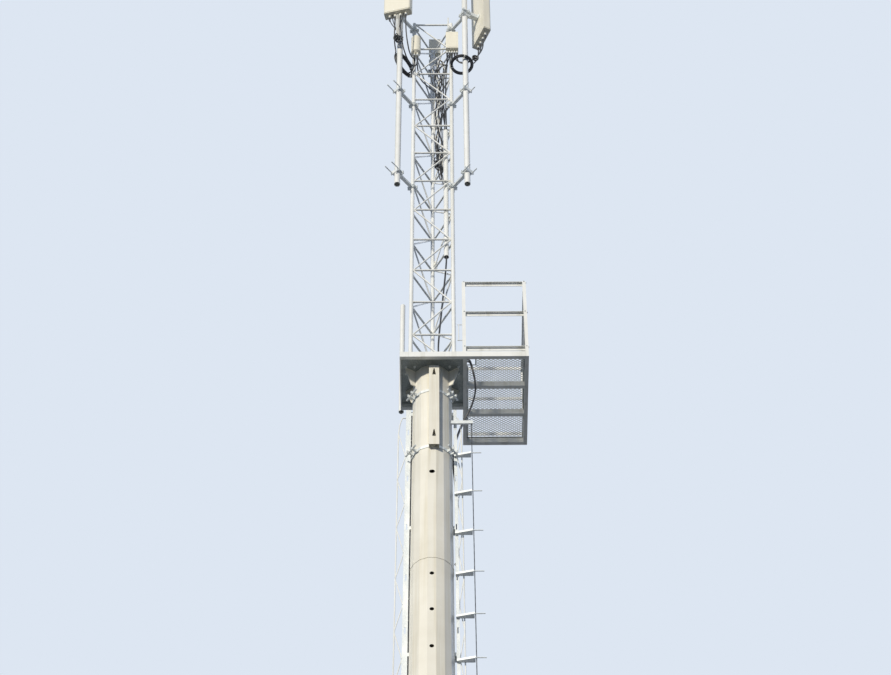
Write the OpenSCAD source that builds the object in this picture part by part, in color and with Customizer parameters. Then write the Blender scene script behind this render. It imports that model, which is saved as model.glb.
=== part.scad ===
// Monopole cell tower: flanged tapered steel pole, head platform, triangular lattice mast,
// sector pipes with two panel antennas, side cable ladders and a climbing line.
// Millimetres, +Z up, origin at the centre of the base flange's underside, front towards -Y.

/* [Pole] */
// Height of the head plate's underside above the foundation
pole_h = 20000; // [17000:500:23000]
// Width across flats of the pole at its foot
pole_base_af = 475; // [440:5:520]
// Width across flats of the pole at its head
pole_top_af = 349; // [340:1:360]
// Thickness of the pole's steel sheet
pole_wall = 6; // [4:1:8]
// Number of flat sides of the pole
pole_sides = 16; // [16:8:24]
// Height where the upper tube's sleeve ends over the lower tube
joint_z = 9600; // [8000:200:11000]
// Overlap of the slip joint
slip_lap = 700; // [400:50:900]
// Length of the welded head section below the head plate
head_section_h = 2550; // [2300:50:2800]
// Height of the weld bead round the head section's lower end
weld_h = 12; // [8:1:20]
// How far the weld bead stands out
weld_out = 3; // [2:0.5:5]

/* [Front face holes] */
// Diameter of the open peg holes in the front face
peg_hole_d = 38; // [24:1:40]
// Distance of the highest peg hole below the head plate
peg_top_drop = 2736; // [2650:1:3400]
// Distance between peg holes
peg_pitch = 420; // [300:10:500]
// No peg hole lies below this height
peg_low_z = 3000; // [2800:100:5000]
// Distance of the wide cable hole below the head plate
wide_hole_drop = 1464; // [1350:1:1700]
// Width of the wide cable hole
wide_hole_w = 50; // [46:1:62]
// Height of the wide cable hole
wide_hole_h = 44; // [24:1:44]

/* [Base] */
// Diameter of the base flange
flange_d = 800; // [760:10:900]
// Thickness of the base flange
flange_t = 40; // [25:1:60]
// Diameter of the opening in the middle of the flange
flange_bore_d = 260; // [150:10:320]
// Number of anchor bolt holes
anchor_n = 16; // [8:4:16]
// Diameter of the anchor bolt circle
anchor_pcd = 690; // [670:5:700]
// Diameter of each anchor hole
anchor_d = 36; // [28:1:42]
// Height of the stiffener plates
stiff_h = 190; // [120:10:260]
// Thickness of the stiffener plates
stiff_t = 12; // [8:1:20]
// Height of the stiffener's outer edge
stiff_toe = 25; // [15:1:40]
// Distance from the stiffener's outer edge to the flange's rim
stiff_margin = 22; // [10:1:40]

/* [Cable port] */
// Height of the cable port's axis
port_z = 2250; // [1800:50:2500]
// Width of the port's oval sleeve
port_d = 80; // [60:1:84]
// Height of the port's oval sleeve
port_h = 150; // [110:5:180]
// Wall of the port's sleeve
port_wall = 6; // [4:1:10]
// Length that the sleeve stands out of the pole
port_len = 70; // [50:5:90]

/* [Clamp bands] */
// Distance of the upper band below the head plate
band_high_drop = 360; // [300:10:420]
// Distance of the lower band below the head plate
band_low_drop = 1130; // [1000:10:1200]
// Height of each band
band_h = 32; // [20:1:50]
// Thickness of each band
band_t = 4; // [3:0.5:6]
// Length of the bolted ears on each band
band_ear = 70; // [50:1:80]
// Thickness of one ear
ear_t = 8; // [5:1:12]
// Free space between the two ears of a pair
ear_gap = 44; // [30:1:60]
// Angle of the two front pairs of ears from straight ahead
ear_turn = 57; // [50:1:60]
// Diameter of the long bolt through a pair of ears
ear_bolt_d = 16; // [12:1:20]
// Length of that bolt
ear_bolt_l = 160; // [120:5:170]

/* [Head plate] */
// Width of the square head plate
plate_w = 564; // [540:2:600]
// Thickness of the head plate
plate_t = 20; // [12:1:25]
// Diameter of the cable opening in the head plate
plate_bore_d = 110; // [80:5:120]
// Height of the head gussets
gusset_h = 200; // [140:10:260]
// Reach of the head gussets from the pole's axis
gusset_reach = 280; // [240:2:280]
// Thickness of the head gussets
gusset_t = 10; // [6:1:14]
// Height of the gusset's outer edge
gusset_toe = 22; // [10:1:40]

/* [Front cover] */
// Width of the front cover channel
cover_w = 92; // [80:1:100]
// Depth of the front cover channel
cover_out = 42; // [26:1:55]
// Sheet thickness of the front cover
cover_t = 3; // [2:0.5:4]
// Length of the front cover
cover_len = 1092; // [900:1:1150]
// Distance of the cover's top below the head plate
cover_top_gap = 62; // [52:1:90]
// Sideways place of the cover's middle
cover_shift = 18; // [0:1:20]
// Width of the two lifting slots in the cover
cover_slot_w = 34; // [20:1:40]
// Height of the lifting slots
cover_slot_h = 90; // [60:5:110]
// Distance of the upper slot's middle from the cover's top
slot_high_in = 87; // [70:1:120]
// Distance of the lower slot's middle from the cover's foot
slot_low_in = 153; // [80:1:200]

/* [Platform] */
// Height of the platform's edge beams
beam_h = 70; // [60:1:90]
// Width of the platform's edge beams
beam_w = 35; // [30:1:40]
// Distance from the pole's axis to the platform's right edge
deck_right = 880; // [800:10:960]
// Distance from the pole's axis to the platform's rear edge
deck_rear = 750; // [700:10:800]
// Number of cross beams under the grating
cross_n = 2; // [2:1:3]
// Width of the strip along the head plate's left edge
side_strip = 12; // [8:1:17]
// Outer diameter of the upright pipe behind the frame's left rear corner
upright_d = 48.3; // [42:0.1:54]
// Wall of that pipe
upright_wall = 4; // [3:0.5:5]
// How far the pipe's axis lies inside the frame's left edge
upright_in = 4; // [0:1:10]
// Height of that pipe above the platform
upright_h = 1530; // [1200:5:1700]
// Sheet thickness of angle bars
angle_t = 4; // [3:0.5:5]

/* [Grating] */
// Thickness of the expanded grating
grate_t = 4; // [3:0.5:6]
// Long pitch of the grating's diamonds
diamond_l = 100; // [90:1:120]
// Short pitch of the grating's diamonds
diamond_w = 60; // [50:1:70]
// Width of the strands between diamonds
strand_w = 8; // [6:0.5:10]
// Width of the plain rim of the grating
grate_rim = 14; // [10:1:20]
// Length of the cable notch in the grating's left edge
notch_l = 110; // [80:5:120]
// Width of the cable notch
notch_w = 80; // [60:5:95]
// Distance of the notch's middle in front of the pole's axis
notch_front = 215; // [205:5:220]

/* [Guardrail] */
// Height of the guardrail's top above the platform
rail_h = 1050; // [900:10:1150]
// Height of a rail's hanging flange
rail_w = 40; // [30:1:45]
// Width of a rail's level flange
rail_fwd = 28; // [24:1:30]
// Width of the post angle bars
post_w = 32; // [30:1:40]
// How far the left front post stands past the head plate's right edge
post_out = 4; // [4:1:8]
// Height of the middle rail above the platform
rail_mid = 595; // [450:5:700]
// Height of the lower rail above the platform
rail_low = 80; // [70:5:150]
// Distance of the rod loop's upright from the left post
loop_w = 34; // [30:1:60]
// How far the loop's level rods stand past its upright
loop_over = 12; // [8:1:16]
// Height of the rod loop
loop_h = 238; // [180:1:300]
// Height of the rod loop's lower end above the platform
loop_low = 166; // [150:1:250]
// Rod diameter of the loop
loop_rod = 8; // [6:1:10]

/* [Lattice mast] */
// Distance between the mast's leg axes
leg_pitch = 400; // [390:5:410]
// Outer diameter of a mast leg
leg_d = 40; // [36:1:44]
// Wall of a mast leg
leg_wall = 4; // [3:0.5:6]
// Height of one lattice panel
panel_h = 500; // [490:5:510]
// Number of lattice panels
panel_n = 12; // [12:1:12]
// Number of panels in the mast's lower section, above which the diagonals lean the other way
section_n = 6; // [2:1:10]
// How far the bars of the two rear sides lie below those of the front
side_drop = 60; // [50:5:65]
// Height of the lowest diagonals' ends above the platform
first_node = 60; // [50:5:80]
// Diameter of the horizontal bars
bar_d = 20; // [16:1:22]
// Diameter of the diagonal bars
diag_d = 16; // [12:1:18]
// How far the legs stand above the top bar
leg_over = 18; // [12:1:60]
// Height of the short pin above the front top bar
pin_up = 150; // [100:10:200]
// Length of the pin below that bar's middle
pin_low = 70; // [40:5:70]
// Diameter of the pin
pin_d = 15; // [12:1:18]
// Distance of the pin from the right leg's axis
pin_in = 30; // [29:1:40]
// Width of a leg's foot plate
foot_w = 110; // [90:5:120]
// Thickness of a leg's foot plate
foot_t = 12; // [8:1:16]

/* [Sector pipes] */
// Outer diameter of the sector pipes
pipe_d = 60.3; // [58:0.1:64]
// Wall of the sector pipes
pipe_wall = 4; // [3:0.5:6]
// Sideways distance of a sector pipe from the mast's axis
pipe_x = 350; // [345:1:360]
// Forward distance of a sector pipe from the mast's axis
pipe_y = 300; // [295:1:315]
// Height of the pipes' lower ends above the head plate's underside
pipe_low = 2700; // [2500:50:2800]
// Length of the sector pipes
pipe_len = 4750; // [4700:50:5000]
// Rearward distance of the rear pipe from the mast's axis
rear_pipe_y = 370; // [360:1:380]
// Height of the rear pipe's lower end above the head plate's underside
rear_pipe_low = 5270; // [5200:10:5290]
// Length of the rear pipe
rear_pipe_len = 1180; // [1150:10:1250]

/* [Stand-offs] */
// Height of the clamp jaws and width of the antenna brackets' arms
arm_w = 50; // [40:1:55]
// Width and height of a stand-off's square tube
arm_t = 30; // [26:1:36]
// Thickness of the clamp jaws
jaw_t = 10; // [8:1:12]
// Diameter of the clamp's threaded rods
rod_d = 12; // [10:1:14]
// How far the rods stand out beyond the left outer jaws
rod_out_left = 105; // [60:1:115]
// How far the rods stand out beyond the right outer jaws
rod_out_right = 62; // [40:1:70]
// Distance of the lowest stand-offs above the head plate's underside
standoff_low = 2900; // [2830:10:2900]
// Distance of the middle stand-offs above the head plate's underside
standoff_mid = 4400; // [4330:10:4400]
// Distance of the top stand-offs above the head plate's underside
standoff_top = 5900; // [5880:10:5900]
// Distance of the rear pipe's lower clamp above the head plate's underside
rear_clamp_low = 5320; // [5320:5:5340]
// Distance between the two clamps of the rear pipe
rear_clamp_gap = 480; // [440:10:490]

/* [Conduit] */
// Outer diameter of the cable conduit
conduit_d = 50; // [44:1:52]
// Wall of the cable conduit
conduit_wall = 3; // [2:0.5:5]
// Height of the conduit's lower end above the head plate's underside
conduit_low = 1780; // [1740:5:1800]
// Length of the conduit
conduit_len = 2190; // [2170:10:2230]
// Sideways distance of the conduit from the right leg
conduit_side = 64; // [63:1:70]
// Distance of the conduit behind the front lattice face
conduit_in = 36.5; // [36:0.5:38]

/* [Antennas] */
// Width of a panel antenna
ant_w = 300; // [260:1:310]
// Depth of a panel antenna
ant_d = 90; // [80:1:96]
// Length of a panel antenna
ant_h = 1600; // [1400:50:1700]
// Height of the left antenna's lower end above the head plate's underside
ant_low_left = 5774; // [5766:2:5782]
// Height of the right antenna's lower end above the head plate's underside
ant_low_right = 5564; // [5560:2:5580]
// Free space between the left pipe and its antenna
ant_gap_left = 38; // [36:1:50]
// Free space between the right pipe and its antenna
ant_gap_right = 128; // [124:1:132]
// Turn of the left antenna from straight ahead
ant_turn_left = -14; // [-16:1:-12]
// Turn of the right antenna from straight ahead
ant_turn_right = 115; // [112:1:118]
// Radius of the antenna's long edges
ant_round = 24; // [12:1:30]
// Thickness of the antenna's end caps
cap_t = 14; // [8:1:20]
// Number of cable connectors under an antenna
conn_n = 4; // [4:1:5]
// Diameter of the antenna's cable connectors
conn_d = 26; // [20:1:30]
// Length of the antenna's cable connectors
conn_l = 34; // [25:1:45]
// Distance of each bracket from the antenna's end
bracket_in = 400; // [395:5:450]
// Height of an antenna bracket
bracket_h = 60; // [50:1:80]

/* [Radio units] */
// Width of the right radio unit
radio_w = 134; // [120:1:150]
// Height of the right radio unit
radio_h = 330; // [280:5:340]
// Depth of the right radio unit
radio_d = 90; // [80:1:100]
// Height of the right radio unit's underside above the head plate's underside
radio_low = 5354; // [5350:2:5380]
// How far the right radio unit's middle lies outside its leg
radio_shift = 10; // [0:1:15]
// Number of cable connectors under the right radio unit
radio_conn_n = 5; // [3:1:5]
// Width of the rear radio unit
rear_radio_w = 130; // [90:1:140]
// Height of the rear radio unit
rear_radio_h = 290; // [240:5:300]
// Depth of the rear radio unit
rear_radio_d = 70; // [60:1:72]
// Height of the rear radio unit's underside above the mast's legs
rear_radio_over = 6; // [6:1:20]
// Sideways place of the rear radio unit's middle
rear_radio_shift = 20; // [0:1:25]
// Number of cable connectors under the rear radio unit
rear_conn_n = 3; // [2:1:3]
// Diameter of the surge unit on the left leg
surge_d = 104; // [90:1:110]
// Length of the surge unit
surge_h = 360; // [320:5:400]
// Height of the surge unit's underside above the head plate's underside
surge_low = 5284; // [5280:2:5300]
// How far the surge unit's middle lies inside its leg
surge_shift = 20; // [0:1:22]
// Distance between the surge unit's connectors
surge_pitch = 32; // [30:1:36]
// Depth of the cooling fins
fin_d = 16; // [10:1:20]
// Thickness of a cooling fin
fin_t = 4; // [3:0.5:6]
// Number of cooling fins on a radio unit
fin_n = 7; // [5:1:9]
// Diameter of the radio and surge units' cable connectors
radio_conn_d = 18; // [14:1:20]

/* [Side ladders] */
// Height of the side ladders' lower ends
ladder_foot_z = 2600; // [2600:50:3200]
// Distance of the side ladders' tops below the head plate
ladder_drop = 445; // [430:5:520]
// Gap between the pole and the left cable tray
left_gap = 13; // [10:1:18]
// Width of the left cable tray
left_tray_w = 46; // [40:1:52]
// Distance of the left outer rod from the pole
left_rod_off = 125; // [110:1:140]
// Gap between the pole and the right stile
right_gap = 15; // [12:1:18]
// Width of the right stile
right_tray_w = 28; // [24:1:32]
// Distance of the right outer rod from the pole
right_rod_off = 84; // [78:1:92]
// Depth of the tray channels
tray_d = 30; // [24:1:34]
// Sheet thickness of the tray channels
tray_t = 3; // [2:0.5:4]
// Diameter of the outer rods
chord_d = 12; // [10:1:14]
// Diameter of the zigzag rods
lace_d = 9; // [7:1:10]
// Diameter of the outer rods' slanted tops
bent_d = 11; // [9:1:12]
// How far an outer rod's top is bent in
bent_in = 30; // [20:1:36]
// Height of the slanted top
bent_h = 217; // [150:1:250]
// Length of one full zigzag
lace_pitch = 620; // [560:10:700]
// Length of each slot in the trays
slot_l = 70; // [50:5:90]
// Width of each slot in the trays
slot_w = 12; // [8:1:14]
// Distance between slots
slot_pitch = 620; // [500:10:700]
// Distance between the lugs that hold the trays
lug_pitch = 1500; // [1200:100:1800]
// Height of a lug
lug_h = 40; // [30:1:60]
// Length of the right lugs' wings behind the feeder cables
cable_wing = 46; // [44:1:60]

/* [Climbing line] */
// Height of the first step above the middle of the lower band
step_over = 30; // [27:1:60]
// Distance between steps
step_pitch = 500; // [400:50:600]
// Length of a step
step_len = 150; // [140:1:155]
// Depth of a step at its outer end
step_w = 56; // [45:1:60]
// Depth of a step at the stile
step_root = 22; // [18:1:30]
// Sheet thickness of a step
step_t = 4; // [3:0.5:6]
// Height of the lips of a step
step_lip = 22; // [18:1:30]
// Length of the thin end bar of a step
end_bar_l = 90; // [60:5:110]
// Diameter of the thin end bar of a step
end_bar_d = 10; // [8:1:12]
// Diameter of the fall arrest cable
line_d = 8; // [6:1:10]
// Distance of the fall arrest cable from the pole
line_off = 174; // [172:1:180]
// Distance of the line's upper bracket below the head plate
line_top_drop = 640; // [600:10:680]
// Height of the line's lower bracket
line_foot_z = 2450; // [2400:50:2500]
// Height of the arms that hold the line
line_arm_h = 40; // [30:1:60]

/* [Cables] */
// Diameter of the feeder cables
feeder_d = 16; // [12:1:18]
// Distance between the two feeder cables
feeder_pitch = 18; // [18:1:20]
// Diameter of the jumper cables
jumper_d = 14; // [10:1:14]
// Mean diameter of the left coil of spare cable
coil_d_left = 280; // [260:5:290]
// Thickness of the left coil
coil_t_left = 46; // [42:1:50]
// Height of the left coil's middle above the head plate's underside
coil_z_left = 5140; // [5130:5:5150]
// Mean diameter of the right coil of spare cable
coil_d_right = 220; // [210:5:230]
// Thickness of the right coil
coil_t_right = 36; // [32:1:40]
// Height of the right coil's middle above the head plate's underside
coil_z_right = 4990; // [4980:5:4990]

/* [Hidden] */

// Clearance between a piece and what it is seated on
seat = 0.3;
// Extra length of a cutting tool past the surface that it cuts
cut = 1;
// Facets of round bores and bars
round_fn = 48;
// Sides of the lattice bars
bar_sides = 6;

seam_z = pole_h - head_section_h;
peg_top_z = pole_h - peg_top_drop;
wide_hole_z = pole_h - wide_hole_drop;
deck_z = pole_h + plate_t;
mast_z = deck_z;
slip_step = pole_wall + seat;
taper_tilt = atan((pole_base_af - pole_top_af) / 2 / pole_h);
leg_x = leg_pitch / 2;
leg_y = leg_pitch / 2 / sqrt(3);
leg_back_y = leg_pitch / sqrt(3);
half_plate = plate_w / 2;
frame_front = half_plate + beam_w;
frame_left = half_plate + side_strip;
arm_dir = atan2(-(pipe_y - leg_y), pipe_x - leg_x);
arm_span = norm([pipe_x - leg_x, pipe_y - leg_y]);

galvanised = "gainsboro";
white_paint = "ivory";
dark_cable = "dimgray";

// Width across flats of the pole's outer line at height z
function pole_af(z) = pole_base_af + (pole_top_af - pole_base_af) * z / pole_h;

// Corner points of a regular polygon with flats on the axes
function flats(af, n) = [for (i = [0 : n - 1])
    let (a = (i + 0.5) * 360 / n, r = af / 2 / cos(180 / n)) [r * cos(a), r * sin(a)]];

// Solid that follows the pole's taper, moved in or out by inset: a block cut by one leaning plane a side
module taper_prism(low, high, inset) {
    w = pole_base_af;
    difference() {
        translate([-w, -w, low])
            cube([2 * w, 2 * w, high - low]);
        for (i = [0 : pole_sides - 1])
            rotate([0, 0, i * 360 / pole_sides])
                translate([pole_af(low) / 2 - inset, 0, low])
                    rotate([0, -taper_tilt, 0])
                        translate([0, -2 * w, -w])
                            cube([2 * w, 4 * w, high - low + 3 * w]);
    }
}

// Tapered tube of the pole between two heights
module pole_tube(low, high, inset) {
    difference() {
        taper_prism(low, high, inset);
        taper_prism(low - cut, high + cut, inset + pole_wall);
    }
}

// Round peg holes through the front wall between two heights
module peg_holes(low, high) {
    for (z = [peg_top_z : -peg_pitch : peg_low_z])
        if (z > low + peg_hole_d && z < high - peg_hole_d)
            translate([0, -pole_af(z) / 2 + 2 * slip_step, z])
                rotate([90, 0, 0])
                    cylinder(d = peg_hole_d, h = 4 * slip_step, $fn = round_fn);
}

// Straight bar of few sides between two points
module bar(a, b, d) {
    v = b - a;
    translate(a)
        rotate([0, acos(v[2] / norm(v)), atan2(v[1], v[0])])
            cylinder(d = d, h = norm(v), $fn = bar_sides);
}

// Places its children on the pole's side, x away from the pole, z along its surface from the head
module on_side(dir) {
    mirror([dir < 0 ? 1 : 0, 0, 0])
        translate([pole_top_af / 2, 0, pole_h])
            rotate([0, -taper_tilt, 0])
                children();
}

module base_flange() {
    color(galvanised)
        difference() {
            cylinder(d = flange_d, h = flange_t, $fn = 2 * round_fn);
            translate([0, 0, -cut])
                cylinder(d = flange_bore_d, h = flange_t + 2 * cut, $fn = 2 * round_fn);
            for (i = [0 : anchor_n - 1])
                rotate([0, 0, (i + 0.5) * 360 / anchor_n])
                    translate([anchor_pcd / 2, 0, -cut])
                        cylinder(d = anchor_d, h = flange_t + 2 * cut, $fn = round_fn);
        }
}

module base_stiffeners() {
    foot_r = pole_af(flange_t) / 2 - slip_step + seat;
    top_r = pole_af(flange_t + stiff_h) / 2 - slip_step + seat;
    rim_r = flange_d / 2 - stiff_margin;
    color(galvanised)
        for (i = [0 : anchor_n - 1])
            rotate([90, 0, i * 360 / anchor_n])
                translate([0, flange_t, -stiff_t / 2])
                    linear_extrude(height = stiff_t)
                        polygon([[foot_r, 0], [rim_r, 0], [rim_r, stiff_toe],
                            [top_r + stiff_toe, stiff_h], [top_r, stiff_h]]);
}

module pole_lower() {
    top = joint_z + slip_lap;
    color(white_paint)
        difference() {
            pole_tube(flange_t, top, slip_step);
            peg_holes(flange_t, joint_z);
            translate([0, 0, port_z])
                rotate([0, 90, 0])
                    linear_extrude(height = pole_base_af)
                        oval(port_h + 2 * seat, port_d + 2 * seat);
        }
}

module pole_upper() {
    color(white_paint)
        difference() {
            pole_tube(joint_z, seam_z, 0);
            peg_holes(joint_z, seam_z);
        }
}

// Head section with the weld bead at its lower end
module pole_head() {
    color(white_paint)
        difference() {
            union() {
                pole_tube(seam_z, pole_h, 0);
                difference() {
                    taper_prism(seam_z, seam_z + weld_h, -weld_out);
                    taper_prism(seam_z - cut, seam_z + weld_h + cut, pole_wall / 2);
                }
            }
            translate([0, 0, wide_hole_z])
                rotate([90, 0, 0])
                    linear_extrude(height = pole_base_af)
                        oval(wide_hole_w, wide_hole_h);
        }
}

// Oval with its length along x
module oval(l, w) {
    square([l - w, w], center = true);
    for (side = [-1, 1])
        translate([side * (l - w) / 2, 0])
            circle(d = w, $fn = round_fn);
}

module cable_port() {
    start = pole_af(port_z) / 2 - slip_step - 2 * pole_wall;
    color(galvanised)
        translate([start, 0, port_z])
            rotate([0, 90, 0])
                linear_extrude(height = port_len + 2 * pole_wall)
                    difference() {
                        oval(port_h, port_d);
                        oval(port_h - 2 * port_wall, port_d - 2 * port_wall);
                    }
}

// One band round the pole with three pairs of ears, each pair drawn together by a long bolt
module band(drop) {
    z = pole_h - drop - band_h / 2;
    inner = pole_af(z) + 2 * seat;
    translate([0, 0, z]) {
        difference() {
            union() {
                linear_extrude(height = band_h)
                    polygon(flats(inner + 2 * band_t, pole_sides));
                for (turn = [-90 - ear_turn, -90 + ear_turn, 90])
                    rotate([0, 0, turn])
                        for (side = [0, 1])
                            translate([0, side * (ear_gap + ear_t) - ear_gap / 2 - ear_t, 0])
                                cube([inner / 2 + band_ear, ear_t, band_h]);
            }
            translate([0, 0, -cut])
                linear_extrude(height = band_h + 2 * cut)
                    polygon(flats(inner, pole_sides));
        }
        for (turn = [-90 - ear_turn, -90 + ear_turn, 90])
            rotate([0, 0, turn])
                translate([inner / 2 + band_ear - 1.5 * ear_bolt_d, ear_bolt_l / 2, band_h / 2])
                    rotate([90, 0, 0])
                        cylinder(d = ear_bolt_d, h = ear_bolt_l, $fn = round_fn);
    }
}

module clamp_bands() {
    color(galvanised) {
        band(band_high_drop);
        band(band_low_drop);
    }
}

module head_plate() {
    color(galvanised)
        translate([0, 0, pole_h])
            difference() {
                translate([-half_plate, -half_plate, 0])
                    cube([plate_w, plate_w, plate_t]);
                translate([0, 0, -cut])
                    cylinder(d = plate_bore_d, h = plate_t + 2 * cut, $fn = round_fn);
            }
}

// Wing plates under the head plate, none at the front where the cover hangs
module head_gussets() {
    color(white_paint)
        difference() {
            for (turn = [-30 : 60 : 210])
                rotate([90, 0, turn])
                    translate([0, pole_h, -gusset_t / 2])
                        linear_extrude(height = gusset_t)
                            polygon([[pole_top_af / 3, 0], [gusset_reach, 0], [gusset_reach, -gusset_toe],
                                [pole_top_af / 2 + 2 * gusset_toe, -gusset_h], [pole_top_af / 3, -gusset_h]]);
            taper_prism(pole_h - gusset_h - cut, pole_h + cut, -seat);
        }
}

// Lifting slot of the cover, its wide end towards +y
module lifting_slot() {
    w = cover_slot_w / 2;
    h = cover_slot_h / 2;
    polygon([[-w / 4, -h], [w / 4, -h], [w, h], [-w, h]]);
}

// Folded channel on the front of the head section, seated on the two bands
module front_cover() {
    top = pole_h - cover_top_gap;
    low = top - cover_len;
    front = pole_af(low) / 2 + band_t + cover_out;
    color(white_paint)
        difference() {
            translate([cover_shift - cover_w / 2, -front, low])
                cube([cover_w, front, cover_len]);
            translate([cover_shift - cover_w / 2 + cover_t, -front + cover_t, low - cut])
                cube([cover_w - 2 * cover_t, front, cover_len - cover_t + cut]);
            taper_prism(low - cut, top + cut, -band_t - 3 * seat);
            for (z = [low + slot_low_in, top - slot_high_in])
                translate([cover_shift, -front - cut, z])
                    rotate([-90, 0, 0])
                        linear_extrude(height = cover_t + 2 * cut)
                            lifting_slot();
        }
}

// Welded frame of rectangular tube round the head plate and the side platform
module platform_frame() {
    low = deck_z - beam_h;
    inner_left = half_plate + beam_w;
    span = deck_rear - beam_w + half_plate;
    color(white_paint)
        translate([0, 0, low]) {
            translate([-frame_left, -frame_front, 0])
                cube([frame_left + deck_right, beam_w, beam_h]);
            translate([-frame_left, half_plate, 0])
                cube([frame_left + half_plate + beam_w, beam_w, beam_h]);
            translate([-frame_left, -half_plate - cut, 0])
                cube([side_strip, plate_w + 2 * cut, beam_h]);
            translate([half_plate, -half_plate - cut, 0])
                cube([beam_w, half_plate + deck_rear + cut, beam_h]);
            translate([deck_right - beam_w, -half_plate - cut, 0])
                cube([beam_w, half_plate + deck_rear + cut, beam_h]);
            translate([half_plate, deck_rear - beam_w, 0])
                cube([deck_right - half_plate, beam_w, beam_h]);
            for (i = [1 : cross_n])
                translate([inner_left - cut, -half_plate + i * span / (cross_n + 1) - beam_w / 2, 0])
                    cube([deck_right - beam_w - inner_left + 2 * cut, beam_w, beam_h - grate_t - seat]);
        }
}

// Expanded metal sheet with staggered diamond openings
module platform_grating() {
    x0 = half_plate + beam_w + seat;
    x1 = deck_right - beam_w - seat;
    y0 = -half_plate + seat;
    y1 = deck_rear - beam_w - seat;
    cols = floor((x1 - x0 - 2 * grate_rim) / diamond_l);
    rows = floor((y1 - y0 - 2 * grate_rim) / diamond_w);
    left = (x0 + x1 - cols * diamond_l) / 2;
    front = (y0 + y1 - rows * diamond_w) / 2;
    notch_y = -notch_front;
    open_l = diamond_l / 2 - strand_w;
    open_w = diamond_w / 2 - strand_w / 2;
    diamond = [[-open_l, 0], [0, -open_w], [open_l, 0], [0, open_w]];
    color(galvanised)
        translate([0, 0, deck_z - grate_t])
            linear_extrude(height = grate_t)
                difference() {
                    translate([x0, y0])
                        square([x1 - x0, y1 - y0]);
                    translate([x0 - cut, notch_y - notch_l / 2])
                        square([notch_w + cut, notch_l]);
                    for (r = [0 : rows - 1])
                        for (c = [0 : cols - 1])
                            for (k = [0, 1])
                                if (!(k == 1 && (c == cols - 1 || r == rows - 1)))
                                    let (px = left + (c + 0.5 + 0.5 * k) * diamond_l,
                                        py = front + (r + 0.5 + 0.5 * k) * diamond_w)
                                        if (px > x0 + notch_w + diamond_l / 2 + grate_rim
                                            || abs(py - notch_y) > notch_l / 2 + diamond_w / 2 + grate_rim)
                                            translate([px, py])
                                                polygon(diamond);
                }
}

// Angle bar profile with its heel at the origin
module angle_profile(w, h) {
    polygon([[0, 0], [w, 0], [w, angle_t], [angle_t, angle_t], [angle_t, h], [0, h]]);
}

// Upright angle bar, heel at the corner given by the signs
module angle_post(x, y, sx, sy) {
    translate([x, y, deck_z])
        mirror([sx < 0 ? 1 : 0, 0, 0])
            mirror([0, sy < 0 ? 1 : 0, 0])
                linear_extrude(height = rail_h)
                    angle_profile(post_w, post_w);
}

// Level angle bar along X: its level flange reaches out to y, the other hangs on its inner side
module rail_x(x0, x1, y, z, sy) {
    translate([x0, y + sy * rail_fwd, z])
        mirror([0, sy > 0 ? 1 : 0, 0])
            rotate([90, 0, 90])
                mirror([0, 1, 0])
                    linear_extrude(height = x1 - x0)
                        angle_profile(rail_fwd, rail_w);
}

rail_levels = [rail_low, rail_mid, rail_h];

// Front rails, two posts and the rod loop beside the left post
module guardrail_front() {
    left = half_plate - post_out;
    front = -frame_front;
    rod_y = front + angle_t / 2 + loop_rod / 2;
    color(white_paint) {
        angle_post(left, front, 1, 1);
        angle_post(deck_right, front, -1, 1);
        for (z = rail_levels)
            rail_x(left + cut, deck_right - cut, front, deck_z + z, 1);
        for (z = [loop_low, loop_low + loop_h - loop_rod])
            translate([left - loop_w - loop_over, rod_y, deck_z + z + loop_rod / 2])
                rotate([0, 90, 0])
                    cylinder(d = loop_rod, h = loop_w + loop_over + angle_t, $fn = bar_sides);
        translate([left - loop_w, rod_y, deck_z + loop_low])
            cylinder(d = loop_rod, h = loop_h, $fn = bar_sides);
    }
}

// Rails along the right edge between the two corner posts
module guardrail_side() {
    y0 = -frame_front + post_w + seat;
    y1 = deck_rear - post_w - seat;
    color(white_paint)
        for (z = rail_levels)
            translate([deck_right - rail_fwd, y0, deck_z + z])
                rotate([-90, 0, 0])
                    linear_extrude(height = y1 - y0)
                        angle_profile(rail_fwd, rail_w);
}

// Rear rails and their two posts
module guardrail_rear() {
    left = half_plate;
    color(white_paint) {
        angle_post(left, deck_rear, 1, -1);
        angle_post(deck_right, deck_rear, -1, -1);
        for (z = rail_levels)
            rail_x(left + cut, deck_right - cut, deck_rear, deck_z + z, -1);
    }
}

// Pipe that stands behind the left end of the frame's rear beam
module left_upright() {
    color(white_paint)
        translate([-frame_left + upright_in, frame_front + upright_d / 2 + seat, deck_z - beam_h])
            difference() {
                cylinder(d = upright_d, h = upright_h + beam_h, $fn = round_fn);
                translate([0, 0, -cut])
                    cylinder(d = upright_d - 2 * upright_wall, h = upright_h + beam_h + 2 * cut,
                        $fn = round_fn);
            }
}

function leg_points() = [[-leg_x, -leg_y], [leg_x, -leg_y], [0, leg_back_y]];

module mast_feet() {
    color(galvanised)
        for (p = leg_points())
            translate([p[0] - foot_w / 2, p[1] - foot_w / 2, deck_z])
                cube([foot_w, foot_w, foot_t]);
}

module mast_leg(p) {
    h = panel_n * panel_h + leg_over - foot_t;
    color(white_paint)
        translate([p[0], p[1], mast_z + foot_t])
            difference() {
                cylinder(d = leg_d, h = h, $fn = round_fn);
                translate([0, 0, -cut])
                    cylinder(d = leg_d - 2 * leg_wall, h = h + 2 * cut, $fn = round_fn);
            }
}

module mast_leg_left() {
    mast_leg(leg_points()[0]);
}

module mast_leg_right() {
    mast_leg(leg_points()[1]);
}

module mast_leg_rear() {
    mast_leg(leg_points()[2]);
}

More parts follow.
